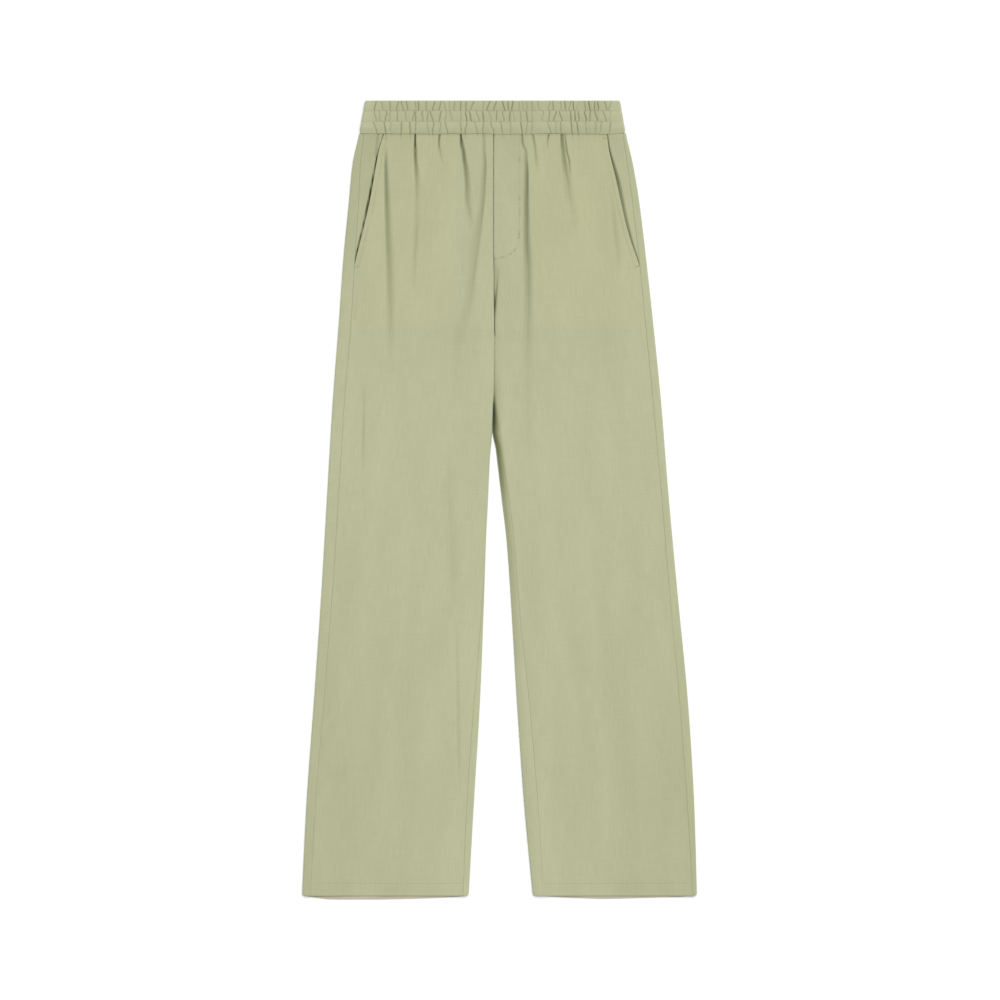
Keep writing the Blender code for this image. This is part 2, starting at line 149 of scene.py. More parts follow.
# The folds that run down from the gathered waist, and the soft creases along the legs.
FOLDS = {
    "left": (
        fold(
            (60, -140.9, 2.4, 3.2, 0), (75, -140.9, 2.6, 4, 1.6), (90, -140.9, 2.8, 4.6, 2.6),
            (130, -140.2, 3.2, 7, 3.2), (169, -139.2, 3.6, 8.6, 3.2), (208, -137.6, 4.4, 9.2, 3),
            (247, -136.6, 5.4, 9.2, 2.6), (306, -135.6, 7, 9, 1.4), (360, -135.5, 9, 10, 0),
        ),
        fold(
            (43, -102.2, 1.6, 2, 3.6), (52, -102.4, 1.7, 2, 3.9), (66, -102.4, 2.5, 3.4, 3.5),
            (78, -102.2, 2.6, 4.2, 3), (92, -101.4, 3.2, 5.4, 2.5), (110, -101, 3.2, 6.6, 1.8),
            (142, -100.8, 5, 6.6, 1), (182, -101.6, 5, 5.6, 1.3), (221, -104.2, 5.2, 5.4, 0.8),
            (252, -105.5, 6, 6, 0),
        ),
        fold(
            (43, -70.2, 1.6, 2.2, 2.2), (54, -71.4, 1.8, 2.4, 1.8), (66, -70.4, 2.2, 3.4, 1.1),
            (88, -66.2, 3.4, 4.6, 0),
        ),
        fold(
            (43, -42.4, 3, 1.6, 3.2), (49, -42, 2.8, 1.6, 3.6), (58, -42, 3, 4.8, 3.8),
            (67, -39.6, 3.6, 4.4, 3.8), (78, -38.4, 3.6, 4.8, 3.6), (90, -37, 3.4, 6.4, 3.4),
            (110, -35.6, 3, 7.6, 3), (130, -35.2, 3.6, 8.6, 2.5), (149, -31.8, 7, 6, 1.6),
            (172, -28.6, 9, 6, 0),
        ),
        fold(
            (43, -13, 2.4, 3, 1), (66, -12.4, 4.6, 3.6, 1.5), (78, -11.2, 5.2, 2.8, 1.8),
            (90, -11, 6.2, 2.6, 2.2), (110, -12.4, 6.4, 3.4, 2.2), (130, -13.8, 6.4, 4.2, 2.2),
            (149, -15.2, 7.8, 2.8, 2.2), (182, -20.6, 12, 5.6, 2.4), (221, -25.6, 11, 5.4, 2.1),
            (260, -31.6, 10, 9, 1.8), (293, -40.4, 10, 11, 1.2), (319, -46.8, 11, 12, 0.8),
            (395, -53, 14, 14, 0),
        ),
        fold(
            (370, -169.2, 2.4, 4, 0), (400, -169.6, 2.4, 4, 0.6), (460, -170.9, 2.4, 4, 0.6),
            (490, -171.6, 2.4, 4, 0),
        ),
        fold(
            (440, -61, 13, 13, 0), (500, -59, 13, 13, 0.9), (620, -55, 13, 13, 0.8), (690, -53, 13, 13, 0),
        ),
        fold(
            (680, -49.2, 4, 5, 0), (720, -48.2, 3.2, 5, 0.45), (852, -45.6, 2.8, 4.4, 0.6),
            (900, -44.8, 2.8, 4.4, 0),
        ),
    ),
    "right": (
        fold(
            (214, 6, 2.4, 2.4, 0), (232, 5, 2.6, 2.4, 0.7), (247, 3.8, 2.4, 2.2, 1.3),
            (262, 2.2, 1.8, 2, 1), (274, 1.4, 1.4, 2, 0),
        ),
        fold(
            (43, 36.6, 2.4, 2.4, 1.2), (58, 38.4, 3, 3, 1.6), (67, 42, 5.4, 2.8, 1.5),
            (78, 42.4, 5.2, 3.4, 2.2), (90, 43.7, 5.4, 2.8, 3), (110, 43.9, 6.4, 2.7, 3.7),
            (130, 43, 5.8, 4.4, 3.9), (149, 43, 6.4, 4.8, 4), (182, 42.7, 5.8, 6.6, 4),
            (221, 44.4, 8, 8, 3.6), (260, 44.6, 8, 8.4, 3), (312, 43.6, 9, 9.6, 1.8),
            (364, 42.9, 10, 11, 1.1), (450, 43, 12, 13, 0.6), (500, 43, 12, 13, 0),
        ),
        fold(
            (43, 50.9, 2.2, 2.2, 1.6), (58, 53.4, 3, 2.6, 1.4), (67, 54.4, 3.2, 2.8, 1.2),
            (78, 54.9, 3.2, 4.6, 1.2), (98, 57, 5, 6, 0),
        ),
        fold(
            (43, 72.3, 2, 2.2, 2), (54, 70.4, 1.8, 2.4, 1), (66, 69.8, 2.4, 3, 0),
        ),
        fold(
            (43, 88.6, 2.2, 4.6, 3), (58, 89.1, 2.6, 6.2, 3.2), (67, 90.6, 4.2, 5.6, 3.1),
            (78, 91.7, 4.8, 5.4, 3), (90, 93.3, 5.2, 6.6, 2.8), (110, 96.8, 8, 7, 2.2),
            (130, 99, 10, 9, 1.6), (149, 102, 11, 11, 1.1), (195, 107, 12, 12, 0),
        ),
        fold(
            (43, 92.8, 1.4, 2, 0.8), (67, 95.6, 1.5, 2.2, 1.4), (78, 98.2, 1.6, 2.6, 1.4),
            (90, 99.4, 1.8, 2.8, 1), (104, 101.4, 2.4, 3.4, 0),
        ),
        fold(
            (112, 152, 5, 7, 0), (150, 156, 5, 7, 1.2), (190, 160.5, 6, 7, 1.2), (235, 164, 6, 8, 0),
        ),
    ),
}
FOLD_SHARPNESS = 1.5
POCKET_GAPE = {"left": 0.9, "right": 1.9}
GAPE_SHARPNESS = 6

# How wide the facing falls away beside the front's edge where a pocket stands open, and how much painted shade
# darkens it there.
POCKET_FALLS = table(
    "left right",
    (44, 0.9, 1.6), (58, 0.8, 1.9), (64, 1.2, 2.2), (84, 2.1, 4.2), (103, 2.7, 6), (130, 2.9, 5.6),
    (150, 2.8, 5), (169, 2.5, 4.4), (201, 1.8, 2.4), (POCKET_END, 1.2, 1.4),
)
POCKET_SHADES = table(
    "left right",
    (44, 0.9, 0.9), (64, 0.93, 0.9), (84, 0.95, 0.65), (103, 0.95, 0.55), (130, 0.95, 0.34),
    (150, 0.95, 0.3), (170, 0.95, 0.34), (190, 0.93, 0.32), (POCKET_END, 0.9, 0.3),
)
FACING_CREASE = ((-150.7, 44.0), (-152.6, 58.0), (-153.6, 70.0))
FACING_CREASE_DEPTH = 0.8
FACING_CREASE_WIDTH = 1.3

# How far each front stands back from the centre line, and how the right one sinks beside the left one's edge.
CENTRE_GAPES = table(
    "left right",
    (44, 0.12, 0.12), (210, 0.1, 0.12), (236, 0, 0.12), (255, 0, 0.3), (267, 0, 0.5), (282, 0, 0.15),
    (292, 0, 0),
)
CENTRE_DIPS = table(
    "depth reach",
    (44, 0.7, 2.2), (200, 0.5, 2.2), (236, 1.4, 2.8), (262, 3, 3.8), (285, 1.8, 3.4), (306, 0.6, 3),
    (335, 0, 3),
)

# Painted shade on the right leg's edge beside the left one: a deep shade, a soft one and how far each reaches.
INNER_SHADES = table(
    "deep deep_reach soft soft_reach",
    (196, 0, 3, 0, 4), (208, 0.1, 3, 0.1, 6), (227, 0.05, 4, 0.15, 10), (247, 0.1, 7, 0.08, 9),
    (267, 0.72, 4.6, 0.06, 7), (286, 0.3, 3, 0.04, 5), (306, 0, 4.5, 0, 5), (351, 0, 4.5, 0.03, 10),
    (378, 0.15, 4.5, 0.12, 14), (390, 0.6, 4.5, 0.15, 15), (397, 0.9, 6, 0.17, 15.5),
    (410, 0.94, 9, 0.17, 15.5), (423, 0.88, 12, 0.12, 15.5), (431, 0.8, 13, 0.1, 15.5),
    (443, 0.72, 13, 0.06, 14.5), (462, 0.65, 12.5, 0.04, 13.5), (482, 0.58, 12.5, 0.03, 13),
    (502, 0.5, 12, 0.02, 13), (521, 0.34, 12, 0, 13), (547, 0.28, 12, 0, 13), (573, 0.22, 12, 0, 13),
    (600, 0.18, 12, 0, 13), (652, 0.12, 12, 0, 13), (780, 0.06, 12, 0, 13), (HEM, 0.04, 10, 0, 13),
)
FULL_SHADE_SHARE = 0.1

# Painted shade: how much less light reaches the folds, stitches, seams, facings, waist and lower legs.
FOLD_SHADE = 0.5
MOST_FOLD_SHADE = 0.8
STITCH_SHADE = 0.07
SEAM_SHADE = 0.14
SEAM_SHADE_REACH = 1.7
FACING_CREASE_SHADE = 0.25
FACING_SHADES = {"left": 0.05, "right": 0.0}
FACING_SHADE_SPAN = (260.0, POCKET_END - 40.0)
WAIST_SHADE = 0.055
WAIST_SHADE_REACH = 120.0
LOW_SHADE = 0.08
LOW_SHADE_SPAN = (450.0, 930.0)

# How far the back hem slips out below the front one, by share of each leg's width from its side.
HEM_SLIPS = {
    "left": ((0, 0), (0.06, 2), (0.14, 4.3), (0.2, 4.5), (0.47, 4.5), (0.71, 3.3), (0.95, 1.4), (1, 0)),
    "right": ((0, 0), (0.09, 1.5), (0.22, 1.9), (0.47, 3.3), (0.6, 3.6), (0.85, 1.8), (0.97, 0), (1, 0)),
}
SLIP_DEPTH = 30.0

# The creases of the back, on the floor: each one's place across at the band and at its end, how far down it
# reaches, its width and its depth.
BACK_CREASES = {
    "left": (
        (-151, -158, 150, 3, 0.5),
        (-121, -126, 235, 3.6, 0.7),
        (-88, -92, 118, 2.4, 0.6),
        (-62, -58, 190, 3, 0.6),
        (-19, -27, 260, 4.5, 0.7),
    ),
    "right": (
        (24, 29, 205, 3.6, 0.7),
        (58, 60, 132, 2.6, 0.6),
        (79, 86, 245, 4, 0.7),
        (112, 119, 160, 2.8, 0.6),
        (141, 153, 215, 3.6, 0.5),
    ),
}
CREASE_FADE_START = 0.4

# The pocket bags, between the front and the back, and the slits in which their facings show.
BAG_CLOTH = 0.5
BAG_HEIGHT = 2.0
BAG_BOTTOM = 299.0
BAG_INNER_EDGE = 50.0
BAG_CORNER = 36.0
BAG_EDGE_BLEND = 6.0
UNDER_EDGE = 0.6
LEAST_SHOWN = 1.0
SLIT_WALL = 0.7
SLIT_FLOOR = 1.35
SLIT_UNDER_FRONT = (4.0, 1.0)
SLIT_END_BLEND = 4.0

# The gathered band. Each of its three channels has gathers of its own.
BAND_HEIGHT = 6.4
BAND_WALL = 2.3
CHANNEL_GATHERS = (40, 38, 28)
BAND_MIDDLE = 22.0
PLAIN_END_SHARE = 0.05
GATHER_WIDTHS = (0.6, 1.5)
LEAST_GATHER = 0.25
GATHER_HEIGHT = 0.9
GATHER_SHARPNESS = 3.0
CREASE_DEPTHS = (0.5, 1.5)
CREASE_WIDTH = 0.6
GATHER_SLANT = 0.5
GATHER_BEND = 0.7
STITCHED_SHARE = 0.45
CHANNEL_PUFF = 0.5
CHANNEL_FULLNESS = 0.4
CHANNEL_BLEND = 1.0
PRESSED_SHARE = 0.55
CREASE_SHADE = 0.22
GATHERED_SHADE = 0.06
GATHERED_RIM_SHADE = 0.09
GATHERED_REACH = 24.0
RIM_ROUND = 0.6
BAND_FALL = 0.7
BAND_END_FALL = 0.8
BAND_FALL_DEPTH = 9.0
STRONG_GATHERS = (-101.8, -69.8, -42.9, -13.7, 43.3, 50.0, 72.4, 87.6)
PUCKER_DEPTH = 0.7
PUCKER_REACH = 7.0
PUCKER_SHADE_REACH = 4.5
SEAM_WAVES = ((0.35, 17.0), (0.2, 7.3))
SEAM_END_RISE = 1.0
SEAM_END_REACH = 26.0
SEAM_WAVE_REACH = 9.0

GARMENT_LENGTH = HEM + max(drop for slips in HEM_SLIPS.values() for _, drop in slips)
MIDDLE_ACROSS = 7.9
SHARP_ANGLE = 70.0


def place(across, down, height):
    """Points of the garment in the scene's metres, as an array whose last axis is x, y, z."""
    across, down, height = np.broadcast_arrays(across, down, height)
    return np.stack(
        [(across - MIDDLE_ACROSS) * MM, (GARMENT_LENGTH / 2 - down) * MM, height * MM], axis=-1
    )


def ease(value, start, end):
    """0 before start, 1 after end, and a smooth rise between."""
    share = np.clip((value - start) / (end - start), 0.0, 1.0)
    return share * share * (3 - 2 * share)


def read_curve(curve, down, column):
    """A table's column at any depths, on a smooth curve through its rows."""
    downs, values = curve["down"], curve[column]
    last = len(downs) - 1
    low = np.maximum(np.arange(last + 1) - 1, 0)
    high = np.minimum(np.arange(last + 1) + 1, last)
    slopes = (values[high] - values[low]) / (downs[high] - downs[low])
    k = np.clip(np.searchsorted(downs, down, side="right") - 1, 0, last - 1)
    step = downs[k + 1] - downs[k]
    t = np.clip((down - downs[k]) / step, 0.0, 1.0)
    return (
        values[k] * (1 + 2 * t) * (1 - t) ** 2
        + slopes[k] * step * t * (1 - t) ** 2
        + values[k + 1] * t * t * (3 - 2 * t)
        + slopes[k + 1] * step * t * t * (t - 1)
    )


def bell(distance, width):
    """1 in the middle, and next to nothing at twice the width."""
    return np.exp(-((distance / width) ** 2))


def below_band(down, reach):
    """What is left at a depth of something that fades away below the band."""
    return np.exp(-(down - BAND_DEPTH) / reach)


def graded(start, *spans):
    """Depths from a start on, over spans that follow on each other, each given by its end and its step."""
    starts = (start, *(end for end, _ in spans))
    depths = [
        np.linspace(top, bottom, math.ceil((bottom - top) / step), endpoint=False)
        for top, (bottom, step) in zip(starts, spans)
    ]
    return np.concatenate([*depths, [spans[-1][0]]])


# ---------------------------------------------------------------- the panels' form


def curl(down):
    """How far the back's inner edge has turned up: 0 above the crotch, on the seat seam, and 1 below."""
    return ease(down, CROTCH - CURL_DEPTH / 2, CROTCH + CURL_DEPTH / 2)


def hem_corner(down):
    """How far a leg's folds draw in at the hem's round corners."""
    into = np.clip(down - (HEM - HEM_CORNER), 0.0, HEM_CORNER)
    return HEM_CORNER - np.sqrt(HEM_CORNER**2 - into**2)


def outer_fold(side, down):
    return read_curve(OUTER_FOLDS, down, side)


def inner_fold(side, down):
    """The leg's inner fold, and above the crotch the seat seam."""
    return read_curve(INNER_FOLDS, down, side)


def seam_inset(side, seam, down):
    return read_curve(SEAM_INSETS, down, f"{side}_{seam}")


def side_seam(side, down):
    """Where a front, or a pocket's facing, ends at the side seam."""
    return outer_fold(side, down) - OUTWARD[side] * (seam_inset(side, "side", down) + SEAM_GAP / 2)


def edge_shape(side, seam, down):
    """The reach over which a leg's top falls to its fold, its slope in radians, and the fold's own radius."""
    reach = read_curve(EDGE_REACHES, down, f"{side}_{seam}")
    tilt = np.radians(read_curve(EDGE_TILTS, down, f"{side}_{seam}"))
    if seam == "inseam":
        tilt = tilt * curl(down)
    fallen = np.tan(tilt) * reach / 2
    radius = (FOLD_HEIGHT - fallen) / (1 + np.cos(tilt) - np.tan(tilt) * (1 - np.sin(tilt)) / 2)
    return reach, tilt, radius


def edge_fall(side, seam, distance, down):
    """How far the top has fallen at a distance from a leg's fold: a slope, and then the fold's own round."""
    reach, tilt, radius = edge_shape(side, seam, down)
    start = radius * (1 - np.sin(tilt))
    left = np.clip(reach - distance, 0.0, reach - start)
    sloped = np.tan(tilt) * left * left / (2 * (reach - start))
    inside = np.clip(radius - distance, 0.0, radius)
    rounded = FOLD_HEIGHT - radius - np.sqrt(radius * radius - inside * inside)
    return np.where(distance < start, rounded, sloped)


def front_edges(side, down):
    """Across positions of a front's outer edge, on the pocket opening or side seam, and its inner edge."""
    outer = np.where(down < POCKET_END, read_curve(POCKET_OPENINGS, down, side), side_seam(side, down))
    inset = (seam_inset(side, "inseam", down) + SEAM_GAP / 2) * ease(down, CROTCH - CURL_DEPTH, CROTCH)
    inner = inner_fold(side, down) + OUTWARD[side] * (inset + read_curve(CENTRE_GAPES, down, side))
    return outer, inner


FOLD_CROWD_SHARE = 0.7


def fold_reliefs(side, across, down):
    """How deep each of a side's folds dips at points, how strongly it wants columns there, and its painted
    shade.
    """
    for course in FOLDS[side]:
        offset = across - read_curve(course, down, "across")
        left = read_curve(course, down, "left")
        right = read_curve(course, down, "right")
        depth = np.maximum(read_curve(course, down, "depth"), 0.0)
        inside = np.clip(1 - np.abs(offset) / np.where(offset < 0, left, right), 0.0, 1.0)
        crowding = np.minimum(depth, 1.0) * bell(offset, FOLD_CROWD_SHARE * (left + right))
        # Painted shade in the fold's trough: darkest at its bottom, and deeper where the fold is steep.
        deepest_shade = np.minimum(2 * FOLD_SHADE * depth / (left + right), MOST_FOLD_SHADE)
        yield depth * inside**FOLD_SHARPNESS, crowding, deepest_shade * ease(inside, 0.0, 1.0)


def settled(height, lowest):
    """The height, kept softly above the lowest one."""
    above = (height - lowest) / 2
    return lowest + above + np.sqrt(above * above + SETTLING * SETTLING)


def bag_share(side, across, down):
    """1 where the pocket bag lies under the front, and 0 outside it."""
    from_inner_edge = np.clip(BAG_CORNER - (across * OUTWARD[side] - BAG_INNER_EDGE), 0.0, None)
    from_bottom = np.clip(BAG_CORNER - (BAG_BOTTOM - down), 0.0, None)
    return ease(BAG_CORNER - np.hypot(from_inner_edge, from_bottom), -BAG_EDGE_BLEND, BAG_EDGE_BLEND)


def rolled(distance, radius=EDGE_ROLL):
    """How far a turned edge has rolled down at a distance inside it."""
    inside = np.clip(distance, 0.0, radius)
    return radius - np.sqrt(np.maximum(radius * radius - (radius - inside) ** 2, 0.0))


# The cloth's own long waves: each one's height, length, angle in degrees and phase.
WAVES = ((0.3, 78.0, 4.0, 0.4), (0.2, 47.0, -6.0, 2.1), (0.1, 140.0, 58.0, 1.3), (0.1, 31.0, 9.0, 4.4))
WAVE_BEND = 6.0
WAVE_BEND_LENGTH = 90.0
WAVES_FROM_EDGE = (2.0, 24.0)


def undulation(across, down):
    """The cloth's own slight unevenness: long low waves, mostly along the legs."""
    relief = 0.0
    for height, length, degrees, phase in WAVES:
        angle = math.radians(degrees)
        along = across * math.cos(angle) + down * math.sin(angle)
        bent = along + WAVE_BEND * np.sin(down / WAVE_BEND_LENGTH + phase)
        relief = relief + height * np.sin(2 * math.pi * bent / length + phase)
    return relief


def groove(across, down, line, depth, width):
    """How deep a groove along a line of (across, down) points, or its shade, is at points."""
    nearest = np.full(np.broadcast(across, down).shape, np.inf)
    for (x0, y0), (x1, y1) in zip(line, line[1:]):
        run = (x1 - x0) ** 2 + (y1 - y0) ** 2
        t = np.clip(((across - x0) * (x1 - x0) + (down - y0) * (y1 - y0)) / run, 0.0, 1.0)
        nearest = np.minimum(nearest, np.hypot(across - x0 - t * (x1 - x0), down - y0 - t * (y1 - y0)))
    return depth * bell(nearest, width)


# The lines of stitches on the fronts, and the short tacks that lock them.
FLY_LINE = (
    (33.9, STITCH_START),
    (33.9, 172.0),
    (33.2, 182.0),
    (30.6, 192.0),
    (25.0, 199.5),
    (16.0, 204.0),
    (3.0, 206.6),
)
POCKET_STITCH_INSET = 5.6
POCKET_LINE_STEPS = 24
POCKET_TAIL = ((-174.9, 218.5), (-178.0, 250.0), (-181.2, 286.0))
TACKS = {
    "left": (((-181.4, 216.6), (-175.0, 216.6)), ((-143.8, 48.8), (-139.8, 48.8))),
    "right": (
        ((184.9, 217.0), (190.2, 215.4)),
        ((143.6, 49.2), (147.6, 49.2)),
        ((33.6, 171.0), (33.6, 179.0)),
    ),
}
STITCH_GROOVE = 0.25
STITCH_GROOVE_WIDTH = 0.9

# Where the fly's stitches are pulled tight into a groove that painted shade darkens, and the spans of each hem,
# by share of its width from the side, where its stitches show.
PULLED_STITCHES = (
    ((33.9, 75.0), (33.9, 80.0)),
    ((33.9, 127.0), (33.9, 130.0)),
    ((33.9, 141.0), (33.9, 144.0)),
    ((33.9, 147.0), (33.9, 151.0)),
    ((33.9, 171.0), (33.2, 179.5)),
    ((28.9, 193.5), (26.9, 196.3)),
    ((22.8, 199.0), (20.0, 201.3)),
    ((12.6, 204.0), (9.2, 205.3)),
    ((3.4, 206.5), (1.3, 206.8)),
)
PULLED_SHADE = 0.24
HEM_SPANS = {"left": ((0.14, 0.5), (0.84, 1.0)), "right": ((0.02, 0.62), (0.93, 1.0))}
SLACK_GROOVE = 0.1
SLACK_SHADE = 0.02


def pocket_line(side):
    downs = np.linspace(STITCH_START, POCKET_END, POCKET_LINE_STEPS)
    opening = read_curve(POCKET_OPENINGS, downs, side) - OUTWARD[side] * POCKET_STITCH_INSET
    return list(zip(opening, downs))


def hem_line(side, start=0.0, end=1.0):
    outer, inner = front_edges(side, np.array(HEM - HEM_TURN))
    return [(float(outer + (inner - outer) * share), HEM - HEM_TURN) for share in (start, end)]


def front_lines(side):
    return [pocket_line(side), hem_line(side), {"left": POCKET_TAIL, "right": FLY_LINE}[side]]


def front_pulls(side):
    """The lines along which stitches pull a front's cloth in, each with its depth and its painted shade."""
    pulls = [(pocket_line(side), STITCH_GROOVE, STITCH_SHADE)]
    pulls += [(hem_line(side, *span), SLACK_GROOVE, SLACK_SHADE) for span in HEM_SPANS[side]]
    if side == "left":
        return [*pulls, (POCKET_TAIL, STITCH_GROOVE, STITCH_SHADE)]
    pulls += [(line, STITCH_GROOVE, PULLED_SHADE) for line in PULLED_STITCHES]
    return [*pulls, (FLY_LINE[:2], SLACK_GROOVE, SLACK_SHADE)]


def band_lift(side, across, down):
    """How far the cloth rises to the band above it."""
    from_fold = np.abs(across - outer_fold(side, down))
    return PANEL_LIFT * below_band(down, PANEL_LIFT_REACH) * ease(from_fold, *LIFT_FROM_FOLD)


def front_height(side, across, down):
    """The height of a front's outer face."""
    outer, inner = front_edges(side, down)
    share = np.clip((across - outer) / (inner - outer), 0.0, 1.0)
    opened = np.sin(math.pi * ease(down, BAND_DEPTH, POCKET_END))
    gape = POCKET_GAPE[side] * opened * (1 - share) ** GAPE_SHARPNESS
    inner_height = CENTRE_FRONT_HEIGHT + (FOLD_HEIGHT - CENTRE_FRONT_HEIGHT) * curl(down)
    height = FOLD_HEIGHT + (inner_height - FOLD_HEIGHT) * share + gape
    height = height + read_curve(CROWNS, down, "height") * np.sin(math.pi * share) ** CROWN_FULLNESS
    over_bag = bag_share(side, across, down)
    height = height + BAG_RELIEF * over_bag + band_lift(side, across, down)
    height = height - sum(relief for relief, _, _ in fold_reliefs(side, across, down))
    if side == "right":
        dip = read_curve(CENTRE_DIPS, down, "depth")
        height = height - dip * np.exp(-np.abs(across - inner) / read_curve(CENTRE_DIPS, down, "reach"))
    within = np.minimum(np.abs(across - outer), np.abs(across - inner))
    height = height + undulation(across, down) * ease(within, *WAVES_FROM_EDGE) + pucker(across, down)
    for line, depth, _ in front_pulls(side):
        height = height - groove(across, down, line, depth, STITCH_GROOVE_WIDTH)
    height = settled(height, LOWEST_TOP + (LOWEST_OVER_BAG - LOWEST_TOP) * over_bag)
    from_side = np.abs(across - outer_fold(side, down)) - hem_corner(down)
    height = height - edge_fall(side, "side", from_side, down)
    from_inseam = np.abs(across - inner_fold(side, down)) - hem_corner(down)
    height = height - curl(down) * edge_fall(side, "inseam", from_inseam, down)
    seam_roll = np.where(down < POCKET_END, EDGE_ROLL, SEAM_ROLL - SEAM_FADE * ease(down, CROTCH, HEM))
    edges = np.maximum(rolled(within, seam_roll), rolled(down - BAND_DEPTH - SEAM_GAP))
    return height - np.maximum(edges, rolled(HEM - down, HEM_ROLL))


def dimmed(*shades):
    """How much less light comes in where several painted shades lie on each other."""
    lit = 1.0
    for shade in shades:
        lit = lit * (1 - shade)
    return 1 - lit


def inner_shade(side, across, down):
    """How much painted shade darkens a leg, where less light reaches it, beside its inner fold, or beside the
    seam above it.
    """
    if side == "left":
        return np.zeros(np.broadcast(across, down).shape)
    distance = np.abs(across - inner_fold(side, down))
    shades = []
    for part in ("deep", "soft"):
        reach = read_curve(INNER_SHADES, down, f"{part}_reach")
        nearness = 1 - ease(distance / reach, FULL_SHADE_SHARE, 1.0)
        shades.append(read_curve(INNER_SHADES, down, part) * nearness)
    return dimmed(*shades)


def far_shade(side, across, down):
    """Painted shade: how much less light reaches the waist, and the lower legs towards their sides, than the
    thighs.
    """
    outer, inner = outer_fold(side, down), inner_fold(side, down)
    from_inner = np.clip((across - inner) / (outer - inner), 0.0, 1.0)
    at_waist = WAIST_SHADE * below_band(down, WAIST_SHADE_REACH)
    return at_waist + LOW_SHADE * from_inner * ease(down, *LOW_SHADE_SPAN)


def facing_shade(side, down):
    """Painted shade: how much less light reaches the cloth at a pocket's side."""
    return FACING_SHADES[side] * ease(down, *FACING_SHADE_SPAN)


def front_shade(side, across, down):
    """Painted shade: how much less light reaches a front's cloth, with its folds, its stitches and its inner
    edge.
    """
    shades = [inner_shade(side, across, down), far_shade(side, across, down)]
    shades += [shade for _, _, shade in fold_reliefs(side, across, down)]
    for line, _, shade in front_pulls(side):
        shades.append(groove(across, down, line, shade, STITCH_GROOVE_WIDTH))
    _, crease = gathers(CHANNELS[-1], across, 1.0)
    shades.append(SEAM_SHADE * bell(down - BAND_DEPTH, SEAM_SHADE_REACH))
    shades.append(CREASE_SHADE * crease * below_band(down, PUCKER_SHADE_REACH))
    return dimmed(*shades)


# ---------------------------------------------------------------- the band's gathers

Channel = namedtuple("Channel", "edges heights slants bends creases")
GATHERS_SEED = 7


def band_ends(down):
    """Where the band ends to the left and right at a depth."""
    return float(outer_fold("left", down)), float(outer_fold("right", down))


def make_channels():
    """Uneven gathers for each channel: their edges across, their heights and how their edges lean."""
    randomizer = np.random.default_rng(GATHERS_SEED)
    channels = []
    left, right = band_ends(BAND_MIDDLE)
    plain = (right - left) * PLAIN_END_SHARE
    for count in CHANNEL_GATHERS:
        widths = randomizer.uniform(*GATHER_WIDTHS, count)
        edges = np.concatenate([[0.0], np.cumsum(widths)]) / widths.sum()
        edges = left + plain + (right - left - 2 * plain) * edges
        for strong in STRONG_GATHERS:
            edges[np.abs(edges - strong).argmin()] = strong
        heights = randomizer.uniform(LEAST_GATHER, 1.0, count)
        slants = randomizer.uniform(-GATHER_SLANT, GATHER_SLANT, count + 1) * np.gradient(edges)
        bends = randomizer.uniform(-GATHER_BEND, GATHER_BEND, count + 1)
        creases = randomizer.uniform(*CREASE_DEPTHS, count + 1)
        channels.append(Channel(edges, heights, slants, bends, creases))
    return channels


CHANNELS = make_channels()


def gathers(channel, across, share):
    """How far a channel's gathers bulge and how deep their creases are, by the points' share of its depth."""
    edges = channel.edges + channel.slants * (share - 0.5) + channel.bends * math.sin(2 * math.pi * share)
    k = np.clip(np.searchsorted(edges, across, side="right") - 1, 0, len(channel.heights) - 1)
    local = np.clip((across - edges[k]) / (edges[k + 1] - edges[k]), 0.0, 1.0)
    ridge = channel.heights[k] * (1 - np.abs(2 * local - 1) ** GATHER_SHARPNESS)
    nearest = np.where(local < 0.5, k, k + 1)
    return ridge, channel.creases[nearest] * bell(across - edges[nearest], CREASE_WIDTH)


def seam_wave(across):
    """How far the seam below the band wanders down, and up at the band's ends."""
    waves = sum(height * np.sin(across / length) for height, length in SEAM_WAVES)
    left, right = band_ends(BAND_DEPTH)
    from_end = np.minimum(across - left, right - across)
    return waves - SEAM_END_RISE * (1 - ease(from_end, 0.0, SEAM_END_REACH))


def below_seam(across, down):
    """The depths of points below the band, which follow the wandering seam above them."""
    return down + seam_wave(across) * below_band(down, SEAM_WAVE_REACH)


def pucker(across, down):
    """The small ripples that the lowest gathers press into the panels below the band."""
    ridge, crease = gathers(CHANNELS[-1], across, 1.0)
    return PUCKER_DEPTH * below_band(down, PUCKER_REACH) * (ridge - crease - 0.5)


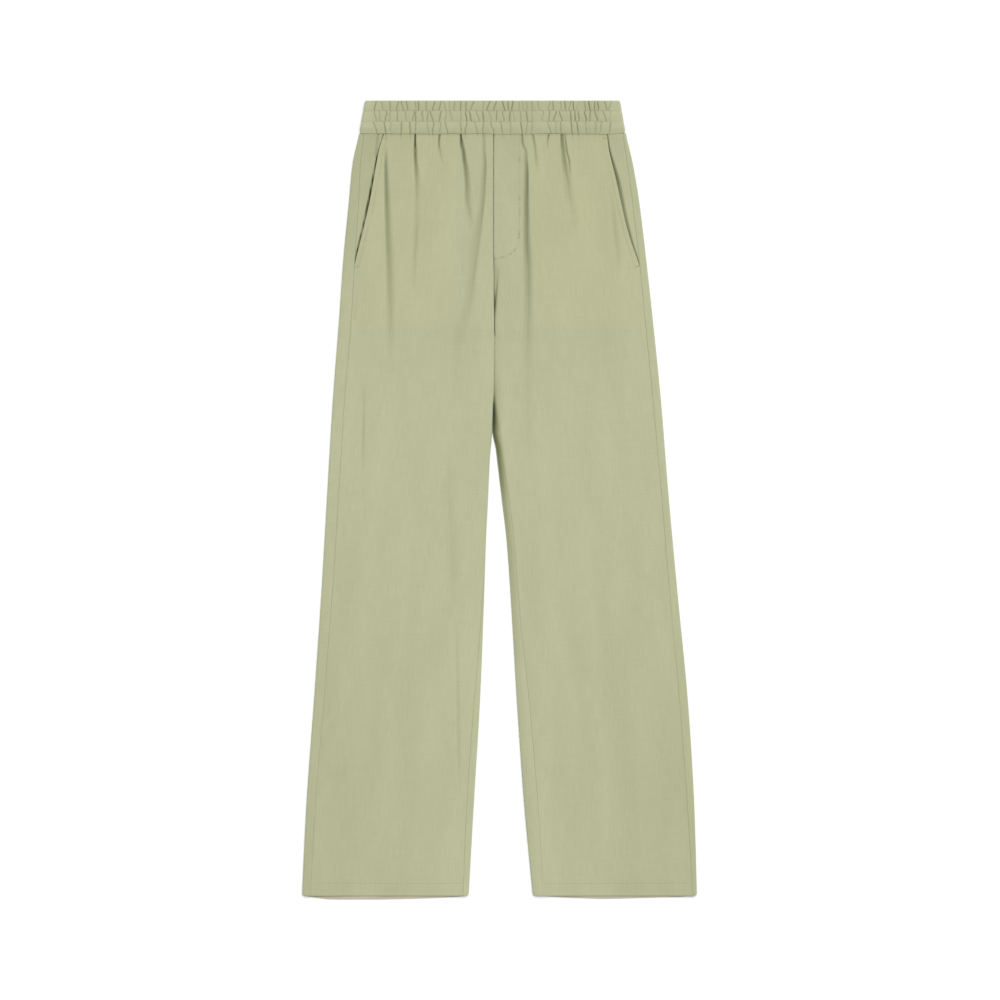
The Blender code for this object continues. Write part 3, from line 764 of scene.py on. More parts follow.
def band_form(across, down):
    """How far the band's outer face stands out at points of one row, and how much painted shade darkens it."""
    lines = (0.0, *STITCH_ROWS, BAND_DEPTH)
    relief = np.zeros_like(across)
    shade = np.zeros_like(across)
    total = 0.0
    for channel, top, bottom in zip(CHANNELS, lines, lines[1:]):
        share = np.clip((down - top) / (bottom - top), 0.0, 1.0)
        first = top == 0.0 or ease(down, top - CHANNEL_BLEND, top + CHANNEL_BLEND)
        last = bottom == BAND_DEPTH or ease(down, bottom + CHANNEL_BLEND, bottom - CHANNEL_BLEND)
        weight = float(first) * float(last)
        bulge = math.sin(math.pi * share) ** CHANNEL_FULLNESS if 0.0 < share < 1.0 else 0.0
        pinched = STITCHED_SHARE + (1 - STITCHED_SHARE) * bulge
        ridge, crease = gathers(channel, across, share)
        relief += weight * (CHANNEL_PUFF * bulge + GATHER_HEIGHT * pinched * (ridge - crease))
        shade += weight * CREASE_SHADE * crease
        total += weight
    left, right = band_ends(down)
    gathered = ease(np.minimum(across - left, right - across), 0.0, GATHERED_REACH)
    at_seam = float(ease(down, BAND_DEPTH - BAND_FALL_DEPTH, BAND_DEPTH))
    fall = (BAND_FALL + BAND_END_FALL * (1 - gathered)) * at_seam
    relief = relief / total - fall - rolled(min(down, BAND_DEPTH - down), RIM_ROUND)
    # Painted shade: the gathered band is darkened, more towards its top rim and less towards its plain ends.
    gathered_painted_shade = GATHERED_SHADE + (GATHERED_RIM_SHADE - GATHERED_SHADE) * (1 - down / BAND_DEPTH)
    return relief, dimmed(shade / total, gathered_painted_shade * gathered)


def band_relief(across, down):
    return band_form(across, down)[0]


# ---------------------------------------------------------------- grids of points

PANEL_DOWNS = graded(
    BAND_DEPTH + SEAM_GAP,
    (BAND_DEPTH + 1.5, 0.3),
    (100.0, 1.2),
    (330.0, 2.1),
    (460.0, 3.0),
    (HEM - 24.0, 6.0),
    (HEM - 1.2, 1.3),
    (HEM, 0.3),
)
FRONT_COLUMNS = 202
TRIED_COLUMNS = 1200
FOLD_CROWDING = 8.0
EDGE_CROWDING = 6.0
EDGE_CROWD_WIDTH = 1.6
CREASE_CROWDING = 2.5
CREASE_CROWD_WIDTH = 1.5


def crease_crowding(across, down):
    """How strongly the creases below the band want columns."""
    nearest = np.abs(across[..., None] - CHANNELS[-1].edges).min(axis=-1)
    return bell(nearest, CREASE_CROWD_WIDTH) * below_band(down, 2 * PUCKER_REACH)


def crowded_columns(side, downs, count):
    """Across positions of a front's columns at each depth, close together on its folds and edges."""
    down = downs[:, None]
    outer, inner = front_edges(side, down)
    low, high = np.minimum(outer, inner), np.maximum(outer, inner)
    across = low + (high - low) * np.linspace(0.0, 1.0, TRIED_COLUMNS)
    density = 1.0 + FOLD_CROWDING * sum(crowding for _, crowding, _ in fold_reliefs(side, across, down))
    density = density + CREASE_CROWDING * crease_crowding(across, down)
    within = np.minimum(across - low, high - across)
    density = density + EDGE_CROWDING * np.exp(-within / EDGE_CROWD_WIDTH)
    reached = np.cumsum((density[:, 1:] + density[:, :-1]) / 2, axis=1)
    reached = np.hstack([np.zeros((len(downs), 1)), reached])
    wanted = np.linspace(0.0, 1.0, count)
    return np.stack([np.interp(wanted * row[-1], row, places) for row, places in zip(reached, across)])


def hem_thickness(down):
    """The cloth's thickness, which grows where the hem is turned up inside."""
    turned = ease(down, HEM - HEM_TURN - HEM_STEP, HEM - HEM_TURN + HEM_STEP)
    return CLOTH + HEM_LAYER * CLOTH * turned


def front_grids(side):
    """A front's outer and inner face, and its tints: its tint over the bag, and its painted shade."""
    down = PANEL_DOWNS[:, None]
    across = crowded_columns(side, PANEL_DOWNS, FRONT_COLUMNS)
    height = front_height(side, across, down)
    thickness = (hem_thickness(PANEL_DOWNS) - rolled(HEM - PANEL_DOWNS, HEM_ROLL))[:, None]
    down = below_seam(across, down)
    tints_and_painted_shade = {"bag": bag_share(side, across, down), "shade": front_shade(side, across, down)}
    return place(across, down, height), place(across, down, height - thickness), tints_and_painted_shade


EDGE_STEPS = 28
UNDER_COLUMNS = 94
LEAST_TURN = 1e-3


def turned_edge(side, seam, down, turn):
    """(run, rise) arrays of an edge that turns up by so many half turns, and laps on as far as its seam."""
    turn = np.maximum(turn, LEAST_TURN)
    reach, tilt, radius = edge_shape(side, seam, down)
    inset = seam_inset(side, seam, down) - hem_corner(down) - SEAM_GAP / 2
    lap = np.maximum(inset - radius * (1 - np.sin(tilt)), 0.0) * turn * turn
    on_round = math.pi - np.arcsin(np.clip(1 - inset / radius, -1.0, 1.0))
    full_angle = np.where(lap > 0, math.pi - tilt, np.minimum(on_round, math.pi - tilt))
    arc = radius * full_angle
    path = (arc + lap) * np.linspace(0.0, 1.0, EDGE_STEPS + 1)
    end = full_angle * turn
    angle = end * np.minimum(path / arc, 1.0)
    run = arc / end * np.sin(angle)
    rise = arc / end * (1 - np.cos(angle))
    along = np.maximum(path - arc, 0.0)
    levelling = reach - radius * (1 - np.sin(tilt))
    near = np.minimum(along, levelling)
    climb = np.tan(tilt) * (near - near * near / (2 * levelling))
    heading = math.pi * turn
    run = run + along * np.cos(heading) + climb * np.sin(heading)
    rise = rise + along * np.sin(heading) - climb * np.cos(heading)
    return run, rise


def hem_slip(side, share, down):
    """How far the back's part on the floor has slipped down at its hem, by share of the leg's width."""
    shares, drops = zip(*HEM_SLIPS[side])
    return np.interp(share, shares, drops) * ease(down, HEM - SLIP_DEPTH, HEM)


def under_rise(side, across, down):
    """How far the back's creases, and its hem's line of stitches, rise off the floor."""
    rise = STITCH_GROOVE * bell(down - HEM + HEM_TURN, STITCH_GROOVE_WIDTH) + 0 * across
    for top, bottom, reach, width, depth in BACK_CREASES[side]:
        share = np.clip((down - BAND_DEPTH) / reach, 0.0, 1.0)
        from_crease = across - top - (bottom - top) * share
        rise = rise + depth * (1 - ease(share, CREASE_FADE_START, 1.0)) * bell(from_crease, width)
    return rise


# Between which heights a back's cloth leaves the floor, follows the wandering seam, and takes the painted
# shade.
OFF_FLOOR = (2.0, 0.5)
ON_WAVED_SEAM = (1.0, 3.0)
IN_SHADE = (0.5, 2.5)


def back_points(side):
    """A back's outer face: from the side seam round the outer fold, over the floor, round the inner fold."""
    down = PANEL_DOWNS[:, None]
    outward = OUTWARD[side]
    start = outer_fold(side, down) - outward * hem_corner(down)
    width = np.abs(inner_fold(side, down) + outward * hem_corner(down) - start)
    side_run, side_rise = turned_edge(side, "side", down, np.ones_like(down))
    inner_run, inner_rise = turned_edge(side, "inseam", down, curl(down))
    begin = side_run.max(axis=1, keepdims=True)
    end = width - inner_run.max(axis=1, keepdims=True)
    under = begin + (end - begin) * np.linspace(0.0, 1.0, UNDER_COLUMNS + 2)[1:-1]
    rise = under_rise(side, start - outward * under, down)
    along = np.hstack([(begin - side_run)[:, ::-1], under, end + inner_run])
    rise = np.hstack([side_rise[:, ::-1], rise, inner_rise])
    dropped = ease(rise, *OFF_FLOOR) * hem_slip(side, along / width, down)
    across = start - outward * along
    waved = (below_seam(across, down) - down) * ease(rise, *ON_WAVED_SEAM)
    return across, down + dropped + waved, rise


LEAST_NORMAL = 1e-12


def unit_normals(points, facing):
    """Unit normals of a grid of points, on the side that facing gives."""
    along = np.gradient(points, axis=1)
    down = np.gradient(points, axis=0)
    normals = facing * np.cross(down, along)
    return normals / np.maximum(np.linalg.norm(normals, axis=2, keepdims=True), LEAST_NORMAL)


def back_grids(side):
    """A back's outer and inner face, and its painted shade."""
    across, down, rise = back_points(side)
    outer = place(across, down, rise)
    normals = unit_normals(outer, OUTWARD[side])
    thickness = hem_thickness(PANEL_DOWNS)[:, None, None] * MM
    seam_roll = np.zeros(across.shape)
    for column, roll in enumerate(BACK_SEAM_ROLLS):
        seam_roll[:, [column, -1 - column]] = roll
    from_end = np.minimum(PANEL_DOWNS - BAND_DEPTH - SEAM_GAP, HEM - PANEL_DOWNS)[:, None]
    edge_rolls = np.maximum(seam_roll, rolled(from_end))
    shades = inner_shade(side, across, down), far_shade(side, across, down), facing_shade(side, down)
    tints_and_painted_shade = {"shade": dimmed(*shades) * ease(rise, *IN_SHADE)}
    return outer - normals * edge_rolls[:, :, None] * MM, outer - normals * thickness, tints_and_painted_shade


BAG_DOWNS = graded(BAND_DEPTH + SEAM_GAP, (60.0, 2.0), (260.0, 5.0), (BAG_BOTTOM, 2.0))
BAG_COLUMNS = 91
BAG_CROWDING = 1.5


def bag_inner_edge(down):
    """How far from the centre a bag's inner edge lies, round its bottom corner."""
    into_corner = np.clip(down - (BAG_BOTTOM - BAG_CORNER), 0.0, BAG_CORNER)
    return BAG_INNER_EDGE + BAG_CORNER - np.sqrt(BAG_CORNER**2 - into_corner**2)


def pocket_grids(side):
    """A bag under its front, whose facing rises to the side seam in the slanted opening, and its painted shade.
    """
    down = BAG_DOWNS[:, None]
    seam = side_seam(side, down)
    share = np.linspace(0.0, 1.0, BAG_COLUMNS)[None, :] ** BAG_CROWDING
    across = seam + (OUTWARD[side] * bag_inner_edge(down) - seam) * share
    shown = np.clip(np.abs(read_curve(POCKET_OPENINGS, down, side) - seam), LEAST_SHOWN, None)
    from_seam = np.abs(across - seam)
    from_fold = np.abs(across - outer_fold(side, down))
    top = FOLD_HEIGHT - edge_fall(side, "side", from_fold, down) + band_lift(side, across, down)
    level = np.maximum(shown - read_curve(POCKET_FALLS, down, side), 0.0)
    wall = SLIT_WALL if side == "left" else shown - level + UNDER_EDGE
    fallen = ease(from_seam, level, level + wall)
    slit_end, slit_start = (shown + beyond for beyond in SLIT_UNDER_FRONT)
    slit = ease(from_seam, level, level + SLIT_WALL) * ease(from_seam, slit_end, slit_start)
    height = top - (top - BAG_HEIGHT) * fallen - (BAG_HEIGHT - SLIT_FLOOR) * slit * fallen
    # Painted shade on the facing: towards the waist, at the left pocket's side and in its crease.
    facing_painted_shade = far_shade(side, across, down) + facing_shade(side, down)
    if side == "left":
        crease = groove(across, down, FACING_CREASE, 1.0, FACING_CREASE_WIDTH)
        height = height - FACING_CREASE_DEPTH * crease
        facing_painted_shade = facing_painted_shade + FACING_CREASE_SHADE * crease
    below = ease(down, POCKET_END - SLIT_END_BLEND, POCKET_END + SLIT_END_BLEND)
    height = height + (BAG_HEIGHT - height) * below - rolled(from_seam) * (1 - below)
    # Painted shade in the open pocket's slit, where the facing falls away under the front's edge.
    shade = read_curve(POCKET_SHADES, down, side) * np.sqrt(fallen) + facing_painted_shade * (1 - fallen)
    tints_and_painted_shade = {"shade": shade * (1 - below)}
    down = below_seam(across, down)
    return place(across, down, height), place(across, down, height - BAG_CLOTH), tints_and_painted_shade


BAND_DOWNS = graded(
    0.0,
    (RIM_ROUND, 0.16),
    (STITCH_ROWS[0] - 1.6, 1.2),
    (STITCH_ROWS[0] + 1.6, 0.4),
    (STITCH_ROWS[1] - 1.6, 1.2),
    (STITCH_ROWS[1] + 1.6, 0.4),
    (BAND_DEPTH - RIM_ROUND, 1.2),
    (BAND_DEPTH, 0.16),
)
BAND_TOP_COLUMNS = 1080
BAND_UNDER_COLUMNS = 240
BAND_TURN_STEPS = 11


def band_under(across, down):
    """The height of the band's underside, whose gathers are pressed flat on the floor."""
    most = CHANNEL_PUFF + GATHER_HEIGHT
    pressed = np.minimum(band_relief(across, down) - PRESSED_SHARE * most, 0.0)
    return -np.minimum(pressed, -rolled(min(down, BAND_DEPTH - down), RIM_ROUND))


def band_grids():
    """The flattened ring's outer and inner face, gathered on top and pressed flat below, and its painted shade.
    """
    up = math.pi / 2
    turn = math.pi * np.linspace(0.0, 1.0, BAND_TURN_STEPS + 1)[1:-1]
    top = np.linspace(0.0, 1.0, BAND_TOP_COLUMNS)
    under = np.linspace(1.0, 0.0, BAND_UNDER_COLUMNS)
    shares = np.concatenate([top, np.ones(len(turn)), under, np.zeros(len(turn))])
    angles = np.concatenate([np.full(len(top), up), up - turn, np.full(len(under), -up), -up - turn])
    radius = BAND_HEIGHT / 2
    side_share = (1 + np.sin(angles)) / 2
    outer, inner, shades = [], [], []
    for down in BAND_DOWNS:
        left, right = band_ends(down)
        left, right = left + radius, right - radius
        middle = left + (right - left) * shares
        relief, shade = band_form(middle, down)
        relief = relief * side_share - band_under(middle, down) * (1 - side_share)
        shades.append(shade * side_share)
        row = down + seam_wave(middle) * np.exp((down - BAND_DEPTH) / SEAM_WAVE_REACH) * side_share
        for grid, reach in ((outer, radius + relief), (inner, radius - BAND_WALL)):
            grid.append(place(middle + reach * np.cos(angles), row, radius + reach * np.sin(angles)))
    return np.array(outer), np.array(inner), {"shade": np.array(shades)}


# ---------------------------------------------------------------- meshes

INNER_STEP = 3


def vertex_numbers(rows, columns, closed, first):
    numbers = first + np.arange(rows * columns).reshape(rows, columns)
    return np.hstack([numbers, numbers[:, :1]]) if closed else numbers


def grid_faces(numbers):
    """Quads over a grid of vertex numbers."""
    a, b = numbers[:-1, :-1], numbers[:-1, 1:]
    c, d = numbers[1:, 1:], numbers[1:, :-1]
    return np.stack([a, b, c, d], axis=-1).reshape(-1, 4).tolist()


def thinned(count):
    """Every so many of a line's places, and always its last."""
    return np.unique(np.append(np.arange(0, count, INNER_STEP), count - 1))


def rim_faces(line, other):
    """Faces that close a shell's edge, from a line of vertices to a thinned line under it."""
    places = thinned(len(line))
    return [
        [other[k], other[k + 1], *line[a : b + 1][::-1]]
        for k, (a, b) in enumerate(zip(places, places[1:]))
    ]


def turned_over(faces):
    return [face[::-1] for face in faces]


def grain_of(points):
    """Where each point lies on the cloth, in metres along the weft and down the warp."""
    steps = np.linalg.norm(np.diff(points, axis=1), axis=2)
    weft = np.hstack([np.zeros((len(points), 1)), np.cumsum(steps, axis=1)])
    weft = weft - weft[:, -1:] / 2
    return np.stack([weft, -points[:, :, 1]], axis=-1)


def add_object(name, data):
    made = bpy.data.objects.new(name, data)
    bpy.context.scene.collection.objects.link(made)
    return made


def new_piece(name, points, faces, materials):
    data = bpy.data.meshes.new(name)
    data.from_pydata(points.tolist(), [], faces)
    for material in materials:
        data.materials.append(material)
    data.shade_smooth()
    data.set_sharp_from_angle(angle=math.radians(SHARP_ANGLE))
    return add_object(name, data)


def cloth_shell(name, outer, inner, tints_and_painted_shade, facing=1, closed=False):
    """A thin closed shell between two grids of points. The hidden inner one is thinned."""
    rows = thinned(outer.shape[0])
    columns = np.arange(0, outer.shape[1], INNER_STEP) if closed else thinned(outer.shape[1])

    def on_both(values, under):
        """A grid's values for the outer vertices, and then a grid's for the inner ones."""
        width = values.shape[2:]
        return np.concatenate([values.reshape(-1, *width), under[np.ix_(rows, columns)].reshape(-1, *width)])

    top = vertex_numbers(*outer.shape[:2], closed, 0)
    under = vertex_numbers(len(rows), len(columns), closed, outer.shape[0] * outer.shape[1])
    over_faces = grid_faces(top)
    under_faces = turned_over(grid_faces(under))
    rims = rim_faces(top[0], under[0]) + turned_over(rim_faces(top[-1], under[-1]))
    if not closed:
        rims += turned_over(rim_faces(top[:, 0], under[:, 0])) + rim_faces(top[:, -1], under[:, -1])
    faces = over_faces + under_faces + rims
    points = on_both(outer, inner)
    piece = new_piece(name, points, turned_over(faces) if facing > 0 else faces, (outside, inside))

    data = piece.data
    grain = grain_of(outer)
    corners = np.empty(len(data.loops), np.int32)
    data.loops.foreach_get("vertex_index", corners)
    grain_at_corners = on_both(grain, grain)[corners].astype(np.float32)
    data.uv_layers.new(name="grain").data.foreach_set("uv", grain_at_corners.ravel())
    for attribute, values in tints_and_painted_shade.items():
        layer = data.attributes.new(attribute, "FLOAT", "POINT")
        layer.data.foreach_set("value", on_both(values, values).astype(np.float32))
    slots = np.zeros(len(faces), np.int32)
    slots[len(over_faces) : len(over_faces) + len(under_faces)] = 1
    data.polygons.foreach_set("material_index", slots)
    data.update()
    return piece


# ---------------------------------------------------------------- thread

THREAD_WIDTH = 0.45
STITCH_LENGTH = 2.5
STITCH_PITCH = 3.0
TACK_WIDTH = 1.5
TACK_PITCH = 0.5
THREAD_SIDES = 6

# A stitch's rings: how far along it they lie, and their lift and girth by the thread's half width.
RINGS_ALONG = np.array([0.0, 0.14, 0.5, 0.86, 1.0])
RINGS_LIFT = np.array([-0.8, 0.2, 0.5, 0.2, -0.8])
RINGS_GIRTH = np.array([0.4, 0.9, 1.0, 0.9, 0.4])


def stitches(line):
    """The (start, end) points of the stitches along a line of (across, down) points."""
    line = np.array(line, float)
    reached = np.concatenate([[0.0], np.cumsum(np.hypot(*np.diff(line, axis=0).T))])
    starts = np.arange(0.0, reached[-1] - STITCH_LENGTH, STITCH_PITCH)
    ends = [
        np.stack([np.interp(at, reached, line[:, axis]) for axis in (0, 1)], axis=-1)
        for at in (starts, starts + STITCH_LENGTH)
    ]
    return np.stack(ends, axis=1)


def tack(start, end):
    """The close short stitches that lie across a tack from start to end."""
    start, end = np.array(start), np.array(end)
    length = np.hypot(*(end - start))
    shares = np.linspace(0.0, 1.0, math.ceil(length / TACK_PITCH))[:, None]
    middles = start + (end - start) * shares
    aside = (end - start)[::-1] * (-1, 1) / length * TACK_WIDTH / 2
    return np.stack([middles - aside, middles + aside], axis=1)


def thread(name, ends, height_at, facing=1):
    """One mesh of rounded stitches that dip into the cloth's face at both ends."""
    girth = (RINGS_GIRTH * THREAD_WIDTH / 2)[:, None]
    run = ends[:, 1] - ends[:, 0]
    aside = run[:, ::-1] * (-1, 1) / np.hypot(*run.T)[:, None]
    middle = ends[:, :1] + run[:, None] * RINGS_ALONG[:, None]
    height = height_at(middle[:, :, 0], middle[:, :, 1]) + facing * RINGS_LIFT * THREAD_WIDTH / 2
    angle = 2 * math.pi * np.arange(THREAD_SIDES) / THREAD_SIDES
    sideways = girth * np.cos(angle)
    points = place(
        middle[:, :, :1] + aside[:, None, :1] * sideways,
        middle[:, :, 1:] + aside[:, None, 1:] * sideways,
        height[:, :, None] + girth * np.sin(angle),
    )
    faces = []
    size = len(RINGS_ALONG) * THREAD_SIDES
    for first in range(0, len(ends) * size, size):
        numbers = vertex_numbers(len(RINGS_ALONG), THREAD_SIDES, True, first)
        faces += grid_faces(numbers)
        faces += [numbers[0, :-1][::-1].tolist(), numbers[-1, :-1].tolist()]
    return new_piece(name, points.reshape(-1, 3), turned_over(faces), (sewing_thread,))


def front_thread(side):
    ends = [stitches(line) for line in front_lines(side)] + [tack(*bar) for bar in TACKS[side]]
    return thread(f"front_{side}_thread", np.concatenate(ends), partial(front_height, side))


BACK_LINE_SHARES = (0.03, 0.97)
BACK_LINE_STEPS = 40


def back_thread(side):
    """The hem's stitches, in their groove on the underside."""
    down = HEM - HEM_TURN
    start, end = float(outer_fold(side, down)), float(inner_fold(side, down))
    shares = np.linspace(*BACK_LINE_SHARES, BACK_LINE_STEPS)
    line = [(start + (end - start) * share, down + float(hem_slip(side, share, down))) for share in shares]
    name = f"back_{side}_thread"
    return thread(name, stitches(line), lambda across, _: np.full_like(across, STITCH_GROOVE), facing=-1)


def band_thread(number, row, under):
    """A row of the band's stitches, on its face or on its underside, between its round ends."""
    left, right = band_ends(row)
    ends = stitches([(left + BAND_HEIGHT / 2, row), (right - BAND_HEIGHT / 2, row)])
    name = f"waistband_thread_{number}"
    if under:
        return thread(f"{name}_under", ends, lambda across, _: band_under(across, row), facing=-1)
    return thread(name, ends, lambda across, _: BAND_HEIGHT + band_relief(across, row))


# ---------------------------------------------------------------- materials

LINEN = (0.439, 0.452, 0.278)
LINEN_INSIDE = (0.46, 0.427, 0.314)
THREAD = (0.422, 0.435, 0.262)
BAG_TINT = (1.018, 1.006, 0.985)
# How painted shade darkens the colour's channels: blue more than red and green, as deep in the folds.
SHADE_POWERS = (1.0, 0.97, 1.27)
LINEN_FINISH = {
    "Roughness": 0.92,
    "Specular IOR Level": 0.25,
    "Sheen Weight": 0.2,
    "Sheen Roughness": 0.6,
}
THREAD_FINISH = {"Roughness": 0.7}

# The weave, and its unevenness in blotches whose lengths along the weft and the warp are in metres.
YARN = 0.55 * MM
YARN_DIP = 0.4
WEAVE_MIDDLE = 0.55
WARP_SLUB = (0.9 * MM, 26 * MM)
WEFT_SLUB = (30 * MM, 0.9 * MM)
LONG_BLOTCH = (34 * MM, 150 * MM)
WARP_SLUB_SHARE = 1.3
WEFT_SLUB_SHARE = 0.7
SLUB_TONE = 0.13
LONG_BLOTCH_TONE = 0.12
WEAVE_TONE = 0.12
SLUB_RELIEF = 0.8
NOISE_DETAIL = 2.0
LONG_BLOTCH_DETAIL = 3.0
LINEN_BUMP = {"Strength": 0.35, "Distance": 0.12 * MM}
FIBRE_SIZE = 0.15 * MM
FIBRE_TONE = 0.3
FIBRE_BUMP = {"Strength": 0.4, "Distance": 0.05 * MM}


class Material:
    """A new material, and a short way to add its shader nodes."""

    def __init__(self, name):
        self.material = bpy.data.materials.new(name)
        self.material.use_nodes = True
        self.tree = self.material.node_tree
        self.shader = self.tree.nodes["Principled BSDF"]

    def fill(self, node, inputs):
        """Gives a node's inputs their values, or links to other nodes' outputs."""
        for name, value in inputs.items():
            if isinstance(value, bpy.types.NodeSocket):
                self.tree.links.new(value, node.inputs[name])
            else:
                node.inputs[name].default_value = value

    def add(self, kind, inputs=None, **settings):
        node = self.tree.nodes.new(kind)
        for name, value in settings.items():
            setattr(node, name, value)
        self.fill(node, inputs or {})
        return node

    def math(self, operation, *inputs):
        return self.add("ShaderNodeMath", dict(enumerate(inputs)), operation=operation).outputs[0]

    def scaled(self, colour, factor):
        return self.add("ShaderNodeVectorMath", {0: colour, "Scale": factor}, operation="SCALE").outputs[0]

    def attribute(self, name):
        return self.add("ShaderNodeAttribute", attribute_name=name).outputs["Fac"]

    def blotches(self, u, v, along_u, along_v, detail=NOISE_DETAIL):
        """Noise on the cloth, in blotches of these lengths."""
        scaled = {0: self.math("DIVIDE", u, along_u), 1: self.math("DIVIDE", v, along_v)}
        vector = self.add("ShaderNodeCombineXYZ", scaled).outputs[0]
        inputs = {"Vector": vector, "Scale": 1.0, "Detail": detail}
        return self.add("ShaderNodeTexNoise", inputs, noise_dimensions="2D").outputs["Fac"]

    def finish(self, colour, relief, bump, values):
        """Links the colour and the relief to the shader, and sets its other values."""
        normal = self.add("ShaderNodeBump", {"Height": relief, **bump}).outputs[0]
        self.fill(self.shader, {"Base Color": colour, "Normal": normal, **values})
        return self.material


def linen(name, colour):
    """Plain-woven linen: yarns, slubs along warp and weft, long blotches a little darker and lighter, and
    painted shade.
    """
    cloth = Material(name)
    grain = cloth.add("ShaderNodeUVMap", uv_map="grain").outputs[0]
    u, v = cloth.add("ShaderNodeSeparateXYZ", {0: grain}).outputs[:2]

    across, along = (cloth.math("SINE", cloth.math("MULTIPLY", axis, math.pi / YARN)) for axis in (u, v))
    round_u, round_v = cloth.math("ABSOLUTE", across), cloth.math("ABSOLUTE", along)
    warp = cloth.math("MULTIPLY", round_u, cloth.math("POWER", round_v, YARN_DIP))
    weft = cloth.math("MULTIPLY", round_v, cloth.math("POWER", round_u, YARN_DIP))
    warp_over = cloth.math("GREATER_THAN", cloth.math("MULTIPLY", across, along), 0.0)
    yarns = {"Factor": warp_over, "A": weft, "B": warp}
    weave = cloth.add("ShaderNodeMix", yarns, data_type="FLOAT").outputs["Result"]

    warp_slub = cloth.blotches(u, v, *WARP_SLUB)
    weft_slub = cloth.math("MULTIPLY", cloth.blotches(u, v, *WEFT_SLUB), WEFT_SLUB_SHARE)
    slubs = cloth.math("MULTIPLY_ADD", warp_slub, WARP_SLUB_SHARE, weft_slub)
    long_blotches = cloth.blotches(u, v, *LONG_BLOTCH, detail=LONG_BLOTCH_DETAIL)
    tone = 1.0
    for source, middle, contrast in (
        (slubs, 1.0, SLUB_TONE),
        (long_blotches, 0.5, LONG_BLOTCH_TONE),
        (weave, WEAVE_MIDDLE, WEAVE_TONE),
    ):
        tone = cloth.math("MULTIPLY_ADD", cloth.math("SUBTRACT", source, middle), contrast, tone)

    over_bag = [c * t for c, t in zip(colour, BAG_TINT)]
    colours = {"Factor": cloth.attribute("bag"), "A": (*colour, 1.0), "B": (*over_bag, 1.0)}
    tint = cloth.add("ShaderNodeMix", colours, data_type="RGBA").outputs["Result"]
    # Painted shade: the cloth's shade attribute darkens its colour, blue more than red and green.
    lit = cloth.math("SUBTRACT", 1.0, cloth.attribute("shade"))
    powers = {axis: cloth.math("POWER", lit, power) for axis, power in enumerate(SHADE_POWERS)}
    light = cloth.add("ShaderNodeCombineXYZ", powers).outputs[0]
    factors = {0: cloth.scaled(tint, tone), 1: light}
    shaded = cloth.add("ShaderNodeVectorMath", factors, operation="MULTIPLY").outputs[0]
    relief = cloth.math("MULTIPLY_ADD", slubs, SLUB_RELIEF, weave)
    return cloth.finish(shaded, relief, LINEN_BUMP, LINEN_FINISH)


def spun_thread():
    """Sewing thread: short fibres that catch the light unevenly along its twist."""
    yarn = Material("sewing_thread")
    position = yarn.add("ShaderNodeTexCoord").outputs["Object"]
    inputs = {"Vector": position, "Scale": 1 / FIBRE_SIZE, "Detail": NOISE_DETAIL}
    fibres = yarn.add("ShaderNodeTexNoise", inputs).outputs["Fac"]
    tone = yarn.math("MULTIPLY_ADD", fibres, FIBRE_TONE, 1 - FIBRE_TONE / 2)
    return yarn.finish(yarn.scaled(THREAD, tone), fibres, FIBRE_BUMP, THREAD_FINISH)


def plain(name, colour, roughness):
    paint = Material(name)
    paint.fill(paint.shader, {"Base Color": (*colour, 1.0), "Roughness": roughness})
    return paint.material


# ---------------------------------------------------------------- the trousers

outside = linen("linen_outside", LINEN)
inside = linen("linen_inside", LINEN_INSIDE)
sewing_thread = spun_thread()

# Each piece's cut in metres, its area in square metres, and what it lies on.
Cut = namedtuple("Cut", "width length area rests_on")


def dress(node, piece, threads=()):
    """Puts a node's cloth, and the thread in it, on the body, and hides the node's imported part."""
    for part in (piece, *threads):
        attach(part, "root")
    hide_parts(node)


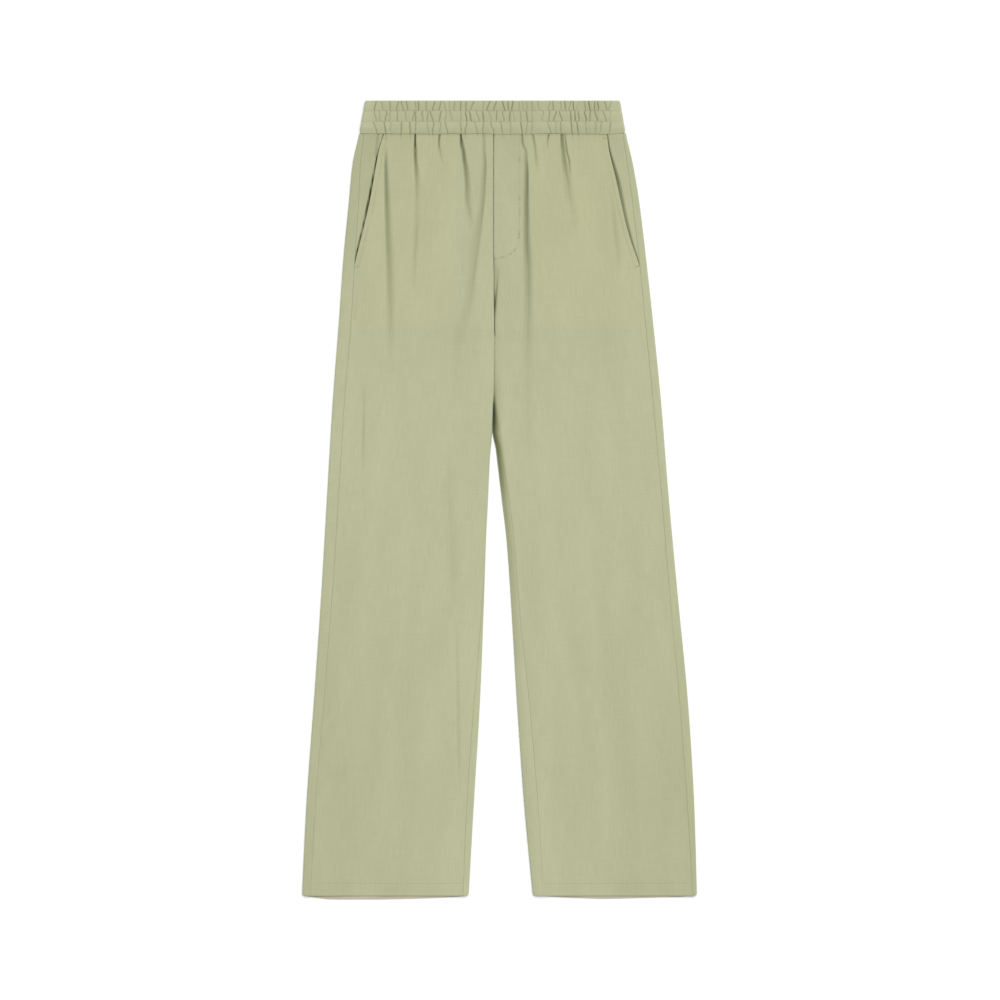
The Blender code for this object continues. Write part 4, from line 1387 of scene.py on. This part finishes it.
band = cloth_shell("waistband_cloth", *band_grids(), closed=True)
sewn = [(number, row, under) for number, row in enumerate(STITCH_ROWS, 1) for under in (False, True)]
dress("waistband", band, [band_thread(*line) for line in sewn])
for side in SIDES:
    front = cloth_shell(f"front_{side}_cloth", *front_grids(side))
    dress(f"front_{side}", front, [front_thread(side)])
    back = cloth_shell(f"back_{side}_cloth", *back_grids(side), facing=OUTWARD[side])
    dress(f"back_{side}", back, [back_thread(side)])
    pocket = cloth_shell(f"pocket_{side}_cloth", *pocket_grids(side), facing=-OUTWARD[side])
    dress(f"pocket_{side}", pocket)

# ---------------------------------------------------------------- floor, light and camera

# Lengths are in metres here, and angles in degrees.
FLOOR_HALF = 20.0
FLOOR_DROP = 0.05 * MM
FLOOR_WHITE = (0.93, 0.93, 0.93)
FLOOR_ROUGHNESS = 0.9
SKY_STRENGTH = 0.45
SUN_STRENGTH = 2.45
SUN_ANGLE = 50.0
SUN_TILTS = (-28.0, 12.0, 0.0)
CAMERA_PLACE = (0.0006, 0.0001)
CAMERA_HEIGHT = 5.0
FRAME_WIDTH = 1.305

floor_data = bpy.data.meshes.new("floor")
corners = [(x * FLOOR_HALF, y * FLOOR_HALF, 0.0) for x, y in ((-1, -1), (1, -1), (1, 1), (-1, 1))]
floor_data.from_pydata(corners, [], [(0, 1, 2, 3)])
floor_data.materials.append(plain("floor", FLOOR_WHITE, FLOOR_ROUGHNESS))
floor = add_object("floor", floor_data)
floor.location.z = -FLOOR_DROP

scene = bpy.context.scene
world = bpy.data.worlds.new("studio")
world.use_nodes = True
sky = world.node_tree.nodes["Background"]
sky.inputs["Color"].default_value = (1.0, 1.0, 1.0, 1.0)
sky.inputs["Strength"].default_value = SKY_STRENGTH
scene.world = world

sun_data = bpy.data.lights.new("window", "SUN")
sun_data.energy = SUN_STRENGTH
sun_data.angle = math.radians(SUN_ANGLE)
add_object("window", sun_data).rotation_euler = [math.radians(tilt) for tilt in SUN_TILTS]

camera_data = bpy.data.cameras.new("camera")
camera_data.lens = camera_data.sensor_width * CAMERA_HEIGHT / FRAME_WIDTH
camera = add_object("camera", camera_data)
camera.location = (*CAMERA_PLACE, CAMERA_HEIGHT + FOLD_HEIGHT * MM)
scene.camera = camera
scene.view_settings.view_transform = "Standard"
